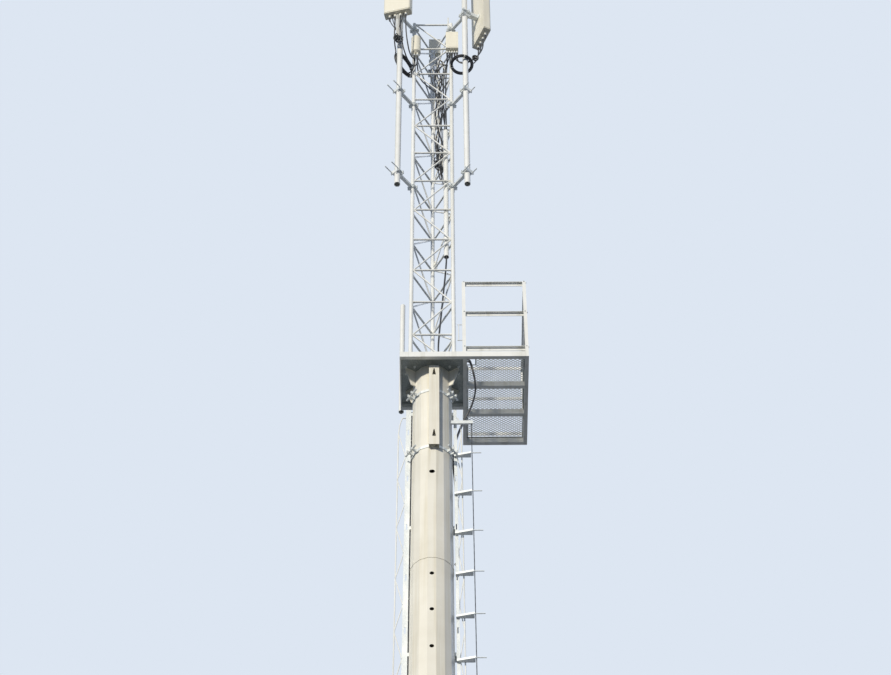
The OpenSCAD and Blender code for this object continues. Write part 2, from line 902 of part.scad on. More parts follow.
// Which end of a panel's diagonal is the lower one, 1 for the right end seen from outside the mast
function diag_side(p) = (p % 2 == 0) == (p < section_n) ? 1 : -1;

// One flat side of the lattice: level bars and one diagonal in each panel, turned about the mast
module bracing(turn, drop) {
    half = leg_x - leg_d / 2 - seat;
    end_x = half - diag_d / 2;
    function level(k) = mast_z + (k == 0 ? first_node : k * panel_h - drop);
    color(white_paint)
        rotate([0, 0, turn])
            intersection() {
                union() {
                    for (k = [1 : panel_n])
                        bar([-half, -leg_y, level(k)], [half, -leg_y, level(k)], bar_d);
                    for (p = [0 : panel_n - 1])
                        bar([diag_side(p) * end_x, -leg_y, level(p)],
                            [-diag_side(p) * end_x, -leg_y, level(p + 1)], diag_d);
                }
                translate([-half, -leg_y - bar_d, mast_z + foot_t + seat])
                    cube([2 * half, 2 * bar_d, panel_n * panel_h + bar_d]);
            }
}

// Front side with the short pin that is welded to its top bar
module bracing_front() {
    bracing(0, 0);
    color(white_paint)
        translate([leg_x - pin_in, -leg_y, mast_z + panel_n * panel_h - pin_low])
            cylinder(d = pin_d, h = pin_low + pin_up, $fn = round_fn);
}

module bracing_right() {
    bracing(120, side_drop);
}

module bracing_left() {
    bracing(240, side_drop);
}

// Open steel pipe
module pipe(x, y, low, len) {
    color(white_paint)
        translate([x, y, pole_h + low])
            difference() {
                cylinder(d = pipe_d, h = len, $fn = round_fn);
                translate([0, 0, -cut])
                    cylinder(d = pipe_d - 2 * pipe_wall, h = len + 2 * cut, $fn = round_fn);
            }
}

module sector_pipe_left() {
    pipe(-pipe_x, -pipe_y, pipe_low, pipe_len);
}

module sector_pipe_right() {
    pipe(pipe_x, -pipe_y, pipe_low, pipe_len);
}

module rear_pipe() {
    pipe(0, rear_pipe_y, rear_pipe_low, rear_pipe_len);
}

// Jaw plate with a round seat, flat side at x = 0, seat towards +x
module jaw(d) {
    w = d + 4 * rod_d;
    ear = d / 4;
    difference() {
        translate([0, -w / 2, -arm_w / 2])
            cube([d / 2 + seat, w, arm_w]);
        translate([d / 2 + seat + jaw_t / 2, 0, -arm_w])
            cylinder(d = d + 2 * seat, h = 2 * arm_w, $fn = round_fn);
        for (y = [-w / 2, w / 2 - ear])
            translate([jaw_t, y, -arm_w])
                cube([d, ear, 2 * arm_w]);
    }
}

// Clamp round a tube at the origin: inner jaw towards -x, outer jaw towards +x, two threaded rods
module clamp(d, tail, nose) {
    reach = d / 2 + seat + jaw_t / 2;
    translate([-reach, 0, 0])
        jaw(d);
    mirror([1, 0, 0])
        translate([-reach, 0, 0])
            jaw(d);
    for (side = [-1, 1])
        translate([-reach - tail, side * (d / 2 + rod_d), 0])
            rotate([0, 90, 0])
                cylinder(d = rod_d, h = 2 * reach + tail + nose, $fn = bar_sides);
}

// Arm from a mast leg at the origin to a pipe at distance span along x
module standoff(span, nose) {
    leg_reach = leg_d / 2 + seat + jaw_t / 2;
    pipe_reach = pipe_d / 2 + seat + jaw_t / 2;
    clamp(leg_d, 0, rod_d);
    translate([span, 0, 0])
        clamp(pipe_d, rod_d, nose);
    translate([leg_reach - jaw_t / 2, -arm_t / 2, -arm_t / 2])
        cube([span - leg_reach - pipe_reach + jaw_t, arm_t, arm_t]);
}

// Three stand-offs of the right side, the top one with short rods behind the antenna
module sector_standoffs(rod_out) {
    color(galvanised)
        for (level = [[standoff_low, rod_out], [standoff_mid, rod_out], [standoff_top, rod_d]])
            translate([leg_x, -leg_y, pole_h + level[0]])
                rotate([0, 0, arm_dir])
                    standoff(arm_span, level[1]);
}

module standoffs_right() {
    sector_standoffs(rod_out_right);
}

module standoffs_left() {
    mirror([1, 0, 0])
        sector_standoffs(rod_out_left);
}

module standoffs_rear() {
    color(galvanised)
        for (i = [0, 1])
            translate([0, leg_back_y, pole_h + rear_clamp_low + i * rear_clamp_gap])
                rotate([0, 0, 90])
                    standoff(rear_pipe_y - leg_back_y, rod_d);
}

// Cable conduit inside the mast beside the right leg, strapped to two level bars of the front
module cable_conduit() {
    x = leg_x - conduit_side;
    y = -leg_y + conduit_in;
    bar_back = -leg_y + bar_d / 2 * cos(180 / bar_sides) + seat;
    color(white_paint)
        difference() {
            union() {
                translate([x, y, pole_h + conduit_low])
                    cylinder(d = conduit_d, h = conduit_len, $fn = round_fn);
                for (k = [5, 7])
                    translate([x - bar_d, bar_back, mast_z + k * panel_h - bar_d])
                        cube([2 * bar_d, y - bar_back, 2 * bar_d]);
            }
            translate([x, y, pole_h + conduit_low - cut])
                cylinder(d = conduit_d - 2 * conduit_wall, h = conduit_len + 2 * cut, $fn = round_fn);
        }
}

// Rounded outline of the antenna seen from above, back edge on y = 0, front towards -y
module antenna_outline(inset) {
    w = ant_w - 2 * inset;
    d = ant_d - inset;
    r = ant_round;
    translate([-w / 2, -d + r])
        square([w, d - r]);
    translate([-w / 2 + r, -d])
        square([w - 2 * r, d]);
    for (side = [-1, 1])
        translate([side * (w / 2 - r), -d + r])
            circle(r = r, $fn = round_fn);
}

// Panel antenna with end caps and a row of connectors
module antenna_body() {
    color(white_paint) {
        translate([0, 0, cap_t])
            linear_extrude(height = ant_h - 2 * cap_t)
                antenna_outline(0);
        for (z = [0, ant_h - cap_t])
            translate([0, 0, z])
                linear_extrude(height = cap_t)
                    antenna_outline(cap_t / 4);
        for (i = [0 : conn_n - 1])
            translate([(i - (conn_n - 1) / 2) * ant_w / (conn_n + 1), -ant_d / 2, -conn_l])
                cylinder(d = conn_d, h = conn_l + cut, $fn = round_fn);
    }
}

// Places its children at a sector pipe, turned to the antenna's direction
module at_sector(dir, low, turn) {
    translate([dir * pipe_x, -pipe_y, pole_h + low])
        rotate([0, 0, turn])
            children();
}

module antenna_left() {
    at_sector(-1, ant_low_left, ant_turn_left)
        translate([0, -pipe_d / 2 - ant_gap_left, 0])
            antenna_body();
}

module antenna_right() {
    at_sector(1, ant_low_right, ant_turn_right)
        translate([0, -pipe_d / 2 - ant_gap_right, 0])
            antenna_body();
}

// Pipe clamp and arm that carry an antenna's back at a distance gap from the pipe
module antenna_bracket(gap) {
    reach = pipe_d / 2 + seat + jaw_t / 2;
    back_t = jaw_t / 2;
    rotate([0, 0, -90]) {
        clamp(pipe_d, rod_d, rod_d / 2);
        translate([reach - jaw_t / 2, -arm_w / 2, -bracket_h / 2])
            cube([gap + pipe_d / 2 - reach + jaw_t / 2 - seat, arm_w, bracket_h]);
        translate([pipe_d / 2 + gap - back_t - seat, -arm_w, -bracket_h / 2])
            cube([back_t, 2 * arm_w, bracket_h]);
    }
}

module antenna_brackets() {
    color(galvanised)
        for (z = [bracket_in, ant_h - bracket_in]) {
            at_sector(-1, ant_low_left + z, ant_turn_left)
                antenna_bracket(ant_gap_left);
            at_sector(1, ant_low_right + z, ant_turn_right)
                antenna_bracket(ant_gap_right);
        }
}

// Radio unit: housing with cooling fins on its back and a row of connectors underneath
module radio_body(w, d, h, n) {
    pitch = (w - 2 * fin_d) / (fin_n - 1);
    translate([-w / 2, -d + fin_d, 0])
        cube([w, d - fin_d, h]);
    for (i = [0 : fin_n - 1])
        translate([-w / 2 + fin_d + i * pitch - fin_t / 2, -cut, fin_d])
            cube([fin_t, fin_d + cut, h - 2 * fin_d]);
    for (i = [0 : n - 1])
        translate([(i - (n - 1) / 2) * w / n, (fin_d - d) / 2, -conn_l])
            cylinder(d = radio_conn_d, h = conn_l + cut, $fn = round_fn);
}

// Two blocks between a radio unit's housing and the round tube behind it, centred at x
module radio_blocks(x, h) {
    for (z = [h / 5, 4 * h / 5])
        translate([x - leg_d / 2, -cut, z - bracket_h / 4])
            cube([leg_d, jaw_t + fin_d + cut, bracket_h / 2]);
}

module radio_unit_right() {
    back = -leg_y - leg_d / 2 - seat - jaw_t - fin_d;
    color(white_paint)
        translate([leg_x + radio_shift, back, pole_h + radio_low]) {
            radio_body(radio_w, radio_d, radio_h, radio_conn_n);
            radio_blocks(-radio_shift, radio_h);
        }
}

module radio_unit_rear() {
    back = rear_pipe_y - pipe_d / 2 - seat - jaw_t - fin_d;
    leg_top = mast_z + panel_n * panel_h + leg_over;
    color(white_paint)
        translate([rear_radio_shift, back, leg_top + rear_radio_over]) {
            radio_body(rear_radio_w, rear_radio_d, rear_radio_h, rear_conn_n);
            radio_blocks(-rear_radio_shift, rear_radio_h);
        }
}

// Round surge unit with domed ends, beside the left leg
module surge_unit_left() {
    r = surge_d / 2;
    dome = r / 2;
    color(white_paint)
        translate([-leg_x + surge_shift, -leg_y - leg_d / 2 - seat - jaw_t - r, pole_h + surge_low]) {
            rotate_extrude($fn = round_fn)
                polygon([[0, 0], [dome, 0], [r, dome], [r, surge_h - 2 * dome], [dome, surge_h],
                    [0, surge_h]]);
            for (z = [surge_h / 4, 3 * surge_h / 4])
                translate([-surge_shift - leg_d / 2, 0, z - bracket_h / 4])
                    cube([leg_d, r + jaw_t, bracket_h / 2]);
            for (x = [-1, 1])
                for (y = [-1, 1])
                    translate([x * surge_pitch / 2, y * surge_pitch / 2, -conn_l])
                        cylinder(d = radio_conn_d, h = conn_l + dome, $fn = round_fn);
        }
}

ladder_top = -ladder_drop;
ladder_low = -(pole_h - ladder_foot_z) / cos(taper_tilt);
joint_s = -(pole_h - joint_z) / cos(taper_tilt);

// Tray channel with slots, and lugs that reach back to the pole and a wing past its rear side
module tray(gap, w, wing) {
    difference() {
        translate([gap, -tray_d / 2, ladder_low])
            cube([w, tray_d, ladder_top - ladder_low]);
        translate([gap + tray_t, -tray_d / 2 + tray_t, ladder_low - cut])
            cube([w - 2 * tray_t, tray_d, ladder_top - ladder_low + 2 * cut]);
        for (s = [ladder_top - slot_pitch / 2 : -slot_pitch : ladder_low + slot_l])
            translate([gap + w / 2 - slot_w / 2, -tray_d, s - slot_l / 2])
                cube([slot_w, tray_d, slot_l]);
    }
    for (s = [ladder_top - lug_h : -lug_pitch : ladder_low + lug_h])
        let (surface = s < joint_s ? -slip_step + seat : seat)
            translate([surface, -tray_d / 2, s - lug_h])
                cube([gap + cut - surface, tray_d + wing, lug_h]);
}

module tray_left() {
    color(galvanised)
        on_side(-1)
            tray(left_gap, left_tray_w, 0);
}

module tray_right() {
    color(galvanised)
        on_side(1)
            tray(right_gap, right_tray_w, cable_wing);
}

// Outer rod, bent in at its top, and zigzag rods between it and a tray
module lacing(inner, rod_off) {
    step = lace_pitch / 2;
    count = floor((ladder_top - ladder_low - lace_pitch) / step);
    start = ladder_top - step;
    bend = chord_d / 2;
    neck_x = rod_off - bent_in;
    neck_z = start + bent_h;
    function end_x(i) = i % 2 == 0 ? rod_off : inner;
    function end_z(i) = start - i * step;
    intersection() {
        union() {
            bar([rod_off, 0, ladder_low], [rod_off, 0, start + cut], chord_d);
            bar([rod_off, 0, start], [neck_x, 0, neck_z], bent_d);
            bar([neck_x, 0, neck_z - bend], [inner, 0, neck_z - bend], lace_d);
            for (i = [0 : count - 1])
                bar([end_x(i), 0, end_z(i) - bend], [end_x(i + 1), 0, end_z(i + 1) + bend], lace_d);
        }
        translate([inner + seat, -chord_d, ladder_low])
            cube([rod_off, 2 * chord_d, ladder_top - ladder_low]);
    }
}

module lacing_left() {
    color(white_paint)
        on_side(-1)
            lacing(left_gap + left_tray_w, left_rod_off);
}

module lacing_right() {
    color(white_paint)
        on_side(1)
            lacing(right_gap + right_tray_w, right_rod_off);
}

// Depth of a step at the distance x from its root
function step_depth(x) = step_root + (step_w - step_root) * x / step_len;

// Wedge outline of a step seen from above, all edges moved in by rim
module step_outline(rim) {
    polygon([[rim, -rim], [step_len - rim, -rim], [step_len - rim, rim - step_depth(step_len - rim)],
        [rim, rim - step_depth(rim)]]);
}

// One folded step in front of the right stile, with a thin end bar
module step() {
    translate([right_gap, -tray_d / 2 - seat, 0]) {
        difference() {
            linear_extrude(height = step_lip)
                step_outline(0);
            translate([0, 0, step_t])
                linear_extrude(height = step_lip)
                    step_outline(step_t);
        }
        translate([step_len - step_lip, end_bar_d - step_w, step_lip / 2])
            rotate([0, 90, 0])
                cylinder(d = end_bar_d, h = step_lip + end_bar_l, $fn = bar_sides);
    }
}

module climbing_steps() {
    color(galvanised)
        on_side(1)
            for (s = [step_over - band_low_drop : -step_pitch : ladder_low + step_pitch / 4])
                translate([0, 0, s])
                    step();
}

line_y = -tray_d / 2 - step_w + 2 * end_bar_d + line_d / 2;
line_top = -line_top_drop;
line_low = -(pole_h - line_foot_z);

module fall_arrest_line() {
    color(dark_cable)
        on_side(1)
            translate([line_off, line_y, line_low])
                cylinder(d = line_d, h = line_top - line_low, $fn = round_fn);
}

// Arms that hold the two ends of the fall arrest line
module line_brackets() {
    color(galvanised)
        for (s = [line_top - line_arm_h, line_low])
            difference() {
                on_side(1)
                    translate([-2 * pole_wall, line_y - line_d, s])
                        cube([line_off + 2 * pole_wall + 2 * line_d, 2 * line_d, line_arm_h]);
                on_side(1)
                    translate([line_off, line_y, s - cut])
                        cylinder(d = line_d + 2 * seat, h = line_arm_h + 2 * cut, $fn = round_fn);
                taper_prism(pole_h + s - 2 * line_arm_h, pole_h + s + 2 * line_arm_h,
                    s < joint_s ? slip_step - seat : -seat);
            }
}

// Ring of points round p, square to direction t
function ring(p, t, d, n) =
    let (up = abs(t[2]) > 0.9 ? [0, 1, 0] : [0, 0, 1], a = cross(t, up), u = a / norm(a), v = cross(t, u))
    [for (i = [0 : n - 1]) p + d / 2 * (cos(i * 360 / n) * u + sin(i * 360 / n) * v)];

// Mean direction of a route at point i
function route_dir(r, i) =
    let (a = r[max(i - 1, 0)], b = r[min(i + 1, len(r) - 1)]) (b - a) / norm(b - a);

// Closed tube along a route
module tube(r, d, n) {
    m = len(r);
    pts = [for (i = [0 : m - 1]) each ring(r[i], route_dir(r, i), d, n)];
    sides = [for (i = [0 : m - 2]) for (j = [0 : n - 1])
        [i * n + j, i * n + (j + 1) % n, (i + 1) * n + (j + 1) % n, (i + 1) * n + j]];
    low = [for (j = [0 : n - 1]) n - 1 - j];
    high = [for (j = [0 : n - 1]) (m - 1) * n + j];
    polyhedron(points = pts, faces = concat([low], sides, [high]));
}

// Feeder route from the conduit's foot through the mast, over the platform's edge and through its notch,
// with heights above the head plate's underside
feeder_high = [
    [136, -70, 1850], [136, -70, 1740], [128, -66, 1560], [108, -56, 1260], [84, -46, 900],
    [62, -40, 560], [56, -38, 380], [64, -40, 250], [92, -46, 150], [130, -52, 100],
    [164, -56, 80], [190, -60, 72], [218, -80, 68], [250, -114, 62], [286, -150, 50],
    [318, -184, 36], [342, -206, 0], [356, -214, -60], [372, -204, -140],
    [388, -166, -220], [390, -108, -300], [368, -48, -380], [328, 4, -470], [280, 36, -570],
    [232, 48, -720]];

// Straight part of the feeder route along the pole's taper
feeder_side = [for (z = [pole_h - 850, pole_h - 1500, joint_z, ladder_foot_z + 20])
    [pole_af(z) / 2 + right_gap + cut + seat + feeder_d / 2, 50, z]];

// End of the feeder route through the mouth of the cable port, seen from where the port meets the pole
feeder_low = [[32, 49, 290], [34, 48, 230], [46, 46, 170], [68, 42, 122], [88, 37, 84], [96, 31, 48],
    [88, 26, 16], [68, 22, -4], [38, 18, -12], [2, 15, -16], [-34, 13, -19]];

feeder_route = concat([for (p = feeder_high) p + [0, 0, pole_h]], feeder_side,
    [for (p = feeder_low) p + [pole_af(port_z) / 2, 0, port_z]]);

// Sideways direction across a route, level where the route is steep
function route_side(r, i) = let (t = route_dir(r, i), n = [0, t[2], -t[1]]) n / norm(n);

module feeder_cables() {
    color(dark_cable)
        for (k = [0, 1])
            tube([for (i = [0 : len(feeder_route) - 1])
                feeder_route[i] + k * feeder_pitch * route_side(feeder_route, i)], feeder_d, 8);
}

// Routes of the four cables from the conduit's head to the radio and surge units, heights as above
mast_routes = [
    [[144, -70, 3900], [144, -70, 4050], [140, -66, 4400], [138, -64, 4800], [142, -72, 5000],
        [150, -100, 5130], [155, -150, 5200], [156, -190, 5240], [156, -199, 5280], [156, -199, 5320]],
    [[127, -70, 3900], [127, -70, 4060], [120, -60, 4400], [116, -54, 4850], [122, -60, 5030],
        [138, -90, 5160], [160, -140, 5220], [178, -180, 5240], [183, -199, 5275], [183, -199, 5320]],
    [[144, -88, 3900], [144, -88, 4060], [128, -84, 4330], [90, -80, 4560], [20, -70, 4740],
        [-60, -70, 4860], [-120, -76, 4960], [-150, -92, 5070], [-163, -124, 5150], [-166, -160, 5170],
        [-164, -180, 5200], [-164, -182, 5250]],
    [[127, -88, 3900], [127, -88, 4060], [110, -76, 4260], [90, -44, 4480], [74, 0, 4800],
        [56, 70, 5200], [44, 110, 5500], [46, 140, 5700], [60, 176, 5820], [68, 226, 5900],
        [65, 272, 5940], [63, 286, 5980], [63, 286, 6010]]];

// Jumper cable along a route that is given from the head plate's underside
module jumper(r) {
    translate([0, 0, pole_h])
        tube(r, jumper_d, 8);
}

module mast_cables() {
    color(dark_cable)
        for (r = mast_routes)
            jumper(r);
}

// Routes on the left from the antenna's connectors to the surge unit, the last two by way of the coil
left_routes = [
    [[-290, -432, 5740], [-290, -432, 5660], [-288, -424, 5540], [-282, -398, 5400], [-266, -345, 5270],
        [-240, -280, 5170], [-212, -234, 5150], [-197, -216, 5190], [-196, -214, 5250]],
    [[-348, -417, 5740], [-348, -417, 5640], [-344, -410, 5480], [-330, -380, 5300], [-300, -335, 5130],
        [-255, -265, 5040], [-205, -210, 5020], [-172, -200, 5070], [-164, -212, 5140],
        [-164, -214, 5200], [-164, -214, 5250]],
    [[-406, -402, 5740], [-406, -402, 5640], [-408, -392, 5500], [-410, -352, 5370], [-404, -306, 5290],
        [-394, -274, 5226]],
    [[-264, -157, 5002], [-248, -152, 5006], [-226, -152, 5026], [-204, -162, 5074], [-197, -176, 5150],
        [-196, -182, 5210], [-196, -182, 5250]]];

// Routes on the right from the antenna's connectors to the radio unit, the last two by way of the coil
right_routes = [
    [[547, -241, 5530], [547, -241, 5460], [540, -241, 5350], [505, -238, 5230], [430, -220, 5130],
        [345, -205, 5090], [290, -200, 5110], [266, -199, 5190], [264, -199, 5320]],
    [[521, -187, 5530], [521, -187, 5460], [510, -184, 5340], [462, -178, 5240], [370, -172, 5175],
        [290, -175, 5160], [246, -190, 5200], [237, -199, 5260], [237, -199, 5320]],
    [[496, -133, 5530], [496, -133, 5450], [488, -142, 5310], [462, -176, 5170], [436, -214, 5070],
        [425, -238, 5024], [421, -252, 5015.5]],
    [[203, -250, 5015.5], [203, -236, 5018], [204, -222, 5040], [206, -208, 5090], [209, -200, 5150],
        [210, -199, 5230], [210, -199, 5320]]];

module jumpers_left() {
    color(dark_cable)
        for (r = left_routes)
            jumper(r);
}

module jumpers_right() {
    color(dark_cable)
        for (r = right_routes)
            jumper(r);
}

// Outer shape of a coil of spare cable
module coil_body(d, t) {
    rotate_extrude($fn = round_fn)
        translate([d / 2, 0])
            circle(d = t, $fn = round_fn / 2);
}

// Upright coil tied to the left sector pipe
module coil_left() {
    side = pipe_d / 2 + coil_t_left / 2 + seat;
    color(dark_cable)
        mirror([1, 0, 0])
            translate([leg_x, -leg_y, pole_h + coil_z_left])
                rotate([0, 0, arm_dir])
                    translate([arm_span - coil_d_left / 2, side, 0])
                        rotate([90, 0, 0])
                            coil_body(coil_d_left, coil_t_left);
}

// Level coil hung round the right sector pipe
module coil_right() {
    off = coil_d_right / 2 - coil_t_right / 2 - pipe_d / 2 - seat;
    color(dark_cable)
        translate([pipe_x, -pipe_y, pole_h + coil_z_right])
            rotate([0, 0, arm_dir])
                translate([-off, 0, 0])
                    coil_body(coil_d_right, coil_t_right);
}

base_flange();
base_stiffeners();
pole_lower();
pole_upper();
pole_head();
cable_port();
clamp_bands();
head_plate();
head_gussets();
front_cover();
platform_frame();
platform_grating();
guardrail_front();
guardrail_side();
guardrail_rear();
left_upright();
mast_feet();
mast_leg_left();
mast_leg_right();
mast_leg_rear();
bracing_front();
bracing_right();
bracing_left();
sector_pipe_left();
sector_pipe_right();
rear_pipe();
standoffs_left();
standoffs_right();
standoffs_rear();
cable_conduit();
antenna_left();
antenna_right();
antenna_brackets();
radio_unit_right();
radio_unit_rear();
surge_unit_left();
tray_left();
tray_right();
lacing_left();
lacing_right();
climbing_steps();
fall_arrest_line();
line_brackets();
feeder_cables();
mast_cables();
jumpers_left();
jumpers_right();
coil_left();
coil_right();
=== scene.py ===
import bpy
import numpy as np
from math import radians, pi, sin, cos, atan, atan2
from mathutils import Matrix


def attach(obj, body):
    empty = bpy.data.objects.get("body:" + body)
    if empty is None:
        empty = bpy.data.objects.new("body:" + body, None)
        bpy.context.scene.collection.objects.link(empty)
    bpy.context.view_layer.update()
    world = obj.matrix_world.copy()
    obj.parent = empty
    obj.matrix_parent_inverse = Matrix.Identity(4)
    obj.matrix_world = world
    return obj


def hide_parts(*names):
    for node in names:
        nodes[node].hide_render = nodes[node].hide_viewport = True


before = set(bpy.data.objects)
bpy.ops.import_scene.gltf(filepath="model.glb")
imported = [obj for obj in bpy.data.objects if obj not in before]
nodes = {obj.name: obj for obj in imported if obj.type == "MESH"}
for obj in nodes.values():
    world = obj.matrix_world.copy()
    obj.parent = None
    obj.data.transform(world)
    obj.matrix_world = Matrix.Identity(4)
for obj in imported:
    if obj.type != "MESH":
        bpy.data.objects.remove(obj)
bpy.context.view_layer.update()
print("frame loaded:", len(nodes), "CAD nodes")

# The photograph was taken from near the ground, looking steeply up
cameraView = {
    "place": (0.123, -14.556, 2.286),
    "pitch": 51.56,   # degrees above the horizon
    "roll": -0.3,
    "lens": 101.01,   # mm, for the sensor's width below
    "sensor": 36.0,
    "near": 0.1, "far": 400.0,
}


# Camera at its place, tipped up from straight ahead by the pitch
def addCamera(v):
    cam = bpy.data.cameras.new("camera")
    cam.lens, cam.sensor_width = v["lens"], v["sensor"]
    cam.clip_start, cam.clip_end = v["near"], v["far"]
    holder = bpy.data.objects.new("camera", cam)
    holder.location = v["place"]
    holder.rotation_mode = "ZYX"
    holder.rotation_euler = (radians(90 + v["pitch"]), 0, radians(v["roll"]))
    bpy.context.collection.objects.link(holder)
    bpy.context.scene.camera = holder


addCamera(cameraView)


# Colour of an sRGB hex value, made linear for the shader
def colour(hexValue):
    c = np.array([int(hexValue[i:i + 2], 16) for i in (1, 3, 5)]) / 255
    lin = np.where(c <= 0.04045, c / 12.92, ((c + 0.055) / 1.055) ** 2.4)
    return (*lin.tolist(), 1.0)


# Adds one shader node, sets its properties and sockets, and links sockets given as (node, output)
def addNode(tree, kind, settings=None, **sockets):
    n = tree.nodes.new(kind)
    for key, value in (settings or {}).items():
        setattr(n, key, value)
    for key, value in sockets.items():
        socket = n.inputs[int(key[1:])] if key[1:].isdigit() else n.inputs[key.replace("_", " ")]
        if isinstance(value, tuple) and len(value) == 2 and hasattr(value[0], "outputs"):
            tree.links.new(value[0].outputs[value[1]], socket)
        else:
            socket.default_value = value
    return n


# Empty material with its node tree
def newMaterial(name):
    m = bpy.data.materials.new(name)
    m.use_nodes = True
    m.node_tree.nodes.clear()
    return m, m.node_tree


# Two-colour ramp of a factor: first up to low, second from high on, and a blend between them
def twoTone(tree, factor, first, second, low=0.3, high=0.7):
    ramp = addNode(tree, "ShaderNodeValToRGB", Fac=factor)
    ramp.color_ramp.elements[0].position, ramp.color_ramp.elements[0].color = low, colour(first)
    ramp.color_ramp.elements[1].position, ramp.color_ramp.elements[1].color = high, colour(second)
    return ramp, "Color"


# Noise whose grains measure mm across, or mm by tallMm upwards
def grains(tree, place, mm, tallMm=None):
    size = addNode(tree, "ShaderNodeMapping", Vector=(place, "Object"),
                   Scale=(1000 / mm, 1000 / mm, 1000 / (tallMm or mm)))
    return addNode(tree, "ShaderNodeTexNoise", Vector=(size, "Vector"), Scale=1.0, Detail=3.0,
                   Roughness=0.6), "Fac"


# Ends a material: the shader with its base colour, its normals tilted by a height of so many metres
def addSurface(tree, base, height, strength, metres, **sockets):
    bump = addNode(tree, "ShaderNodeBump", Strength=strength, Distance=metres, Height=height)
    shader = addNode(tree, "ShaderNodeBsdfPrincipled", Base_Color=base, Normal=(bump, "Normal"), **sockets)
    addNode(tree, "ShaderNodeOutputMaterial", Surface=(shader, "BSDF"))


# Off-white paint over zinc: satin, faintly clouded, with thin rain streaks that run down it
def makeDuplexPaint(name, pale, cloudy, streak, cloudMm, streakMm):
    m, t = newMaterial(name)
    place = addNode(t, "ShaderNodeTexCoord")
    base = twoTone(t, grains(t, place, cloudMm), cloudy, pale)
    rain = twoTone(t, grains(t, place, streakMm, 40 * streakMm), streak, "#FFFFFF", high=0.52)
    kind = {"data_type": "RGBA", "blend_type": "MULTIPLY"}
    mixed = addNode(t, "ShaderNodeMix", kind, _0=1.0, _6=base, _7=rain)
    addSurface(t, (mixed, 2), grains(t, place, 5.0), 0.12, 0.0008, Roughness=0.42)
    return m


# Hot-dip galvanised steel, weathered to a dull grey: zinc crystals show as spangle, white rust as clouds
def makeZinc(name, pale, dull, rust, spangleMm):
    m, t = newMaterial(name)
    place = addNode(t, "ShaderNodeTexCoord")
    spangle = addNode(t, "ShaderNodeTexVoronoi", {"feature": "F1"}, Vector=(place, "Object"),
                      Scale=1000 / spangleMm)
    base = twoTone(t, (spangle, "Distance"), dull, pale, 0.1, 0.8)
    patches = twoTone(t, grains(t, place, 130.0, 300.0), "#000000", "#FFFFFF", 0.5, 0.75)
    mixed = addNode(t, "ShaderNodeMix", {"data_type": "RGBA"}, _0=patches, _6=base, _7=colour(rust))
    addSurface(t, (mixed, 2), grains(t, place, 6.0), 0.15, 0.0008, Roughness=0.5, Metallic=0.3)
    return m


# Gel-coated glass fibre of the antenna covers: matt, almost even, slightly warm, with dust that washes down
def makeRadome(name, pale, cloudy):
    m, t = newMaterial(name)
    place = addNode(t, "ShaderNodeTexCoord")
    base = twoTone(t, grains(t, place, 160.0, 700.0), cloudy, pale)
    addSurface(t, base, grains(t, place, 4.0), 0.08, 0.0005, Roughness=0.5, IOR=1.5)
    return m


# Plastic cable sheath: smooth, with a soft sheen and a dusty cloud here and there
def makeSheath(name, tone, worn):
    m, t = newMaterial(name)
    place = addNode(t, "ShaderNodeTexCoord")
    base = twoTone(t, grains(t, place, 40.0), tone, worn, 0.35, 0.75)
    addSurface(t, base, grains(t, place, 3.0), 0.1, 0.0004, Roughness=0.4, IOR=1.5)
    return m


# Stranded steel cable: the lay of its strands shows as slanted ridges, one every layMm
def makeWireRope(name, pale, dark, layMm=7.0):
    m, t = newMaterial(name)
    place = addNode(t, "ShaderNodeTexCoord")
    wave = addNode(t, "ShaderNodeTexWave", {"bands_direction": "DIAGONAL"}, Vector=(place, "Object"),
                   Scale=1000 / layMm / 20, Distortion=0.3)
    base = twoTone(t, (wave, "Fac"), dark, pale, 0.1, 0.6)
    addSurface(t, base, (wave, "Fac"), 0.5, 0.0010, Roughness=0.45, Metallic=0.6)
    return m


polePaint = makeDuplexPaint("duplexPaintPole", "#EFECE0", "#E5E1D3", "#F0EDE5", cloudMm=340.0, streakMm=48.0)
mastPaint = makeDuplexPaint("duplexPaintMast", "#F4F5F2", "#EBECE8", "#ECEBE6", cloudMm=120.0, streakMm=60.0)
zinc = makeZinc("hotDipZinc", "#9DA3A1", "#808786", "#B4B8B2", spangleMm=12.0)
brightZinc = makeZinc("zincPlate", "#DDE1E0", "#C3C8C9", "#ECEDE9", spangleMm=7.0)
radome = makeRadome("gelCoatRadome", "#F2EEDD", "#E7E1CE")
blackSheath = makeSheath("blackPolyethylene", "#141518", "#2B2D31")
greySheath = makeSheath("greyPvc", "#EDECE4", "#D2D1C9")
wireRope = makeWireRope("strandedSteel", "#55585C", "#2C2E32")

finishes = {
    polePaint: ["pole_lower", "pole_upper", "pole_head", "front_cover", "head_gussets"],
    mastPaint: ["platform_frame", "guardrail_front", "guardrail_side", "guardrail_rear", "left_upright",
                "mast_leg_left", "mast_leg_right", "mast_leg_rear", "bracing_front", "bracing_right",
                "bracing_left", "sector_pipe_left", "sector_pipe_right", "rear_pipe", "cable_conduit",
                "lacing_left", "lacing_right"],
    zinc: ["head_plate", "platform_grating"],
    brightZinc: ["clamp_bands", "standoffs_left", "standoffs_right", "standoffs_rear", "antenna_brackets",
                 "line_brackets", "tray_left", "tray_right", "climbing_steps", "base_flange",
                 "base_stiffeners", "cable_port", "mast_feet"],
    radome: ["antenna_left", "antenna_right", "radio_unit_right", "radio_unit_rear", "surge_unit_left"],
    wireRope: ["fall_arrest_line"],
    blackSheath: ["feeder_cables", "mast_cables", "jumpers_left", "jumpers_right", "coil_left", "coil_right"],
}


# Each CAD node takes the material whose list names it
def paintNodes(table):
    for material, names in table.items():
        for name in names:
            mesh = nodes[name].data
            mesh.materials.clear()
            mesh.materials.append(material)
            nodes[name].material_slots[0].material = material


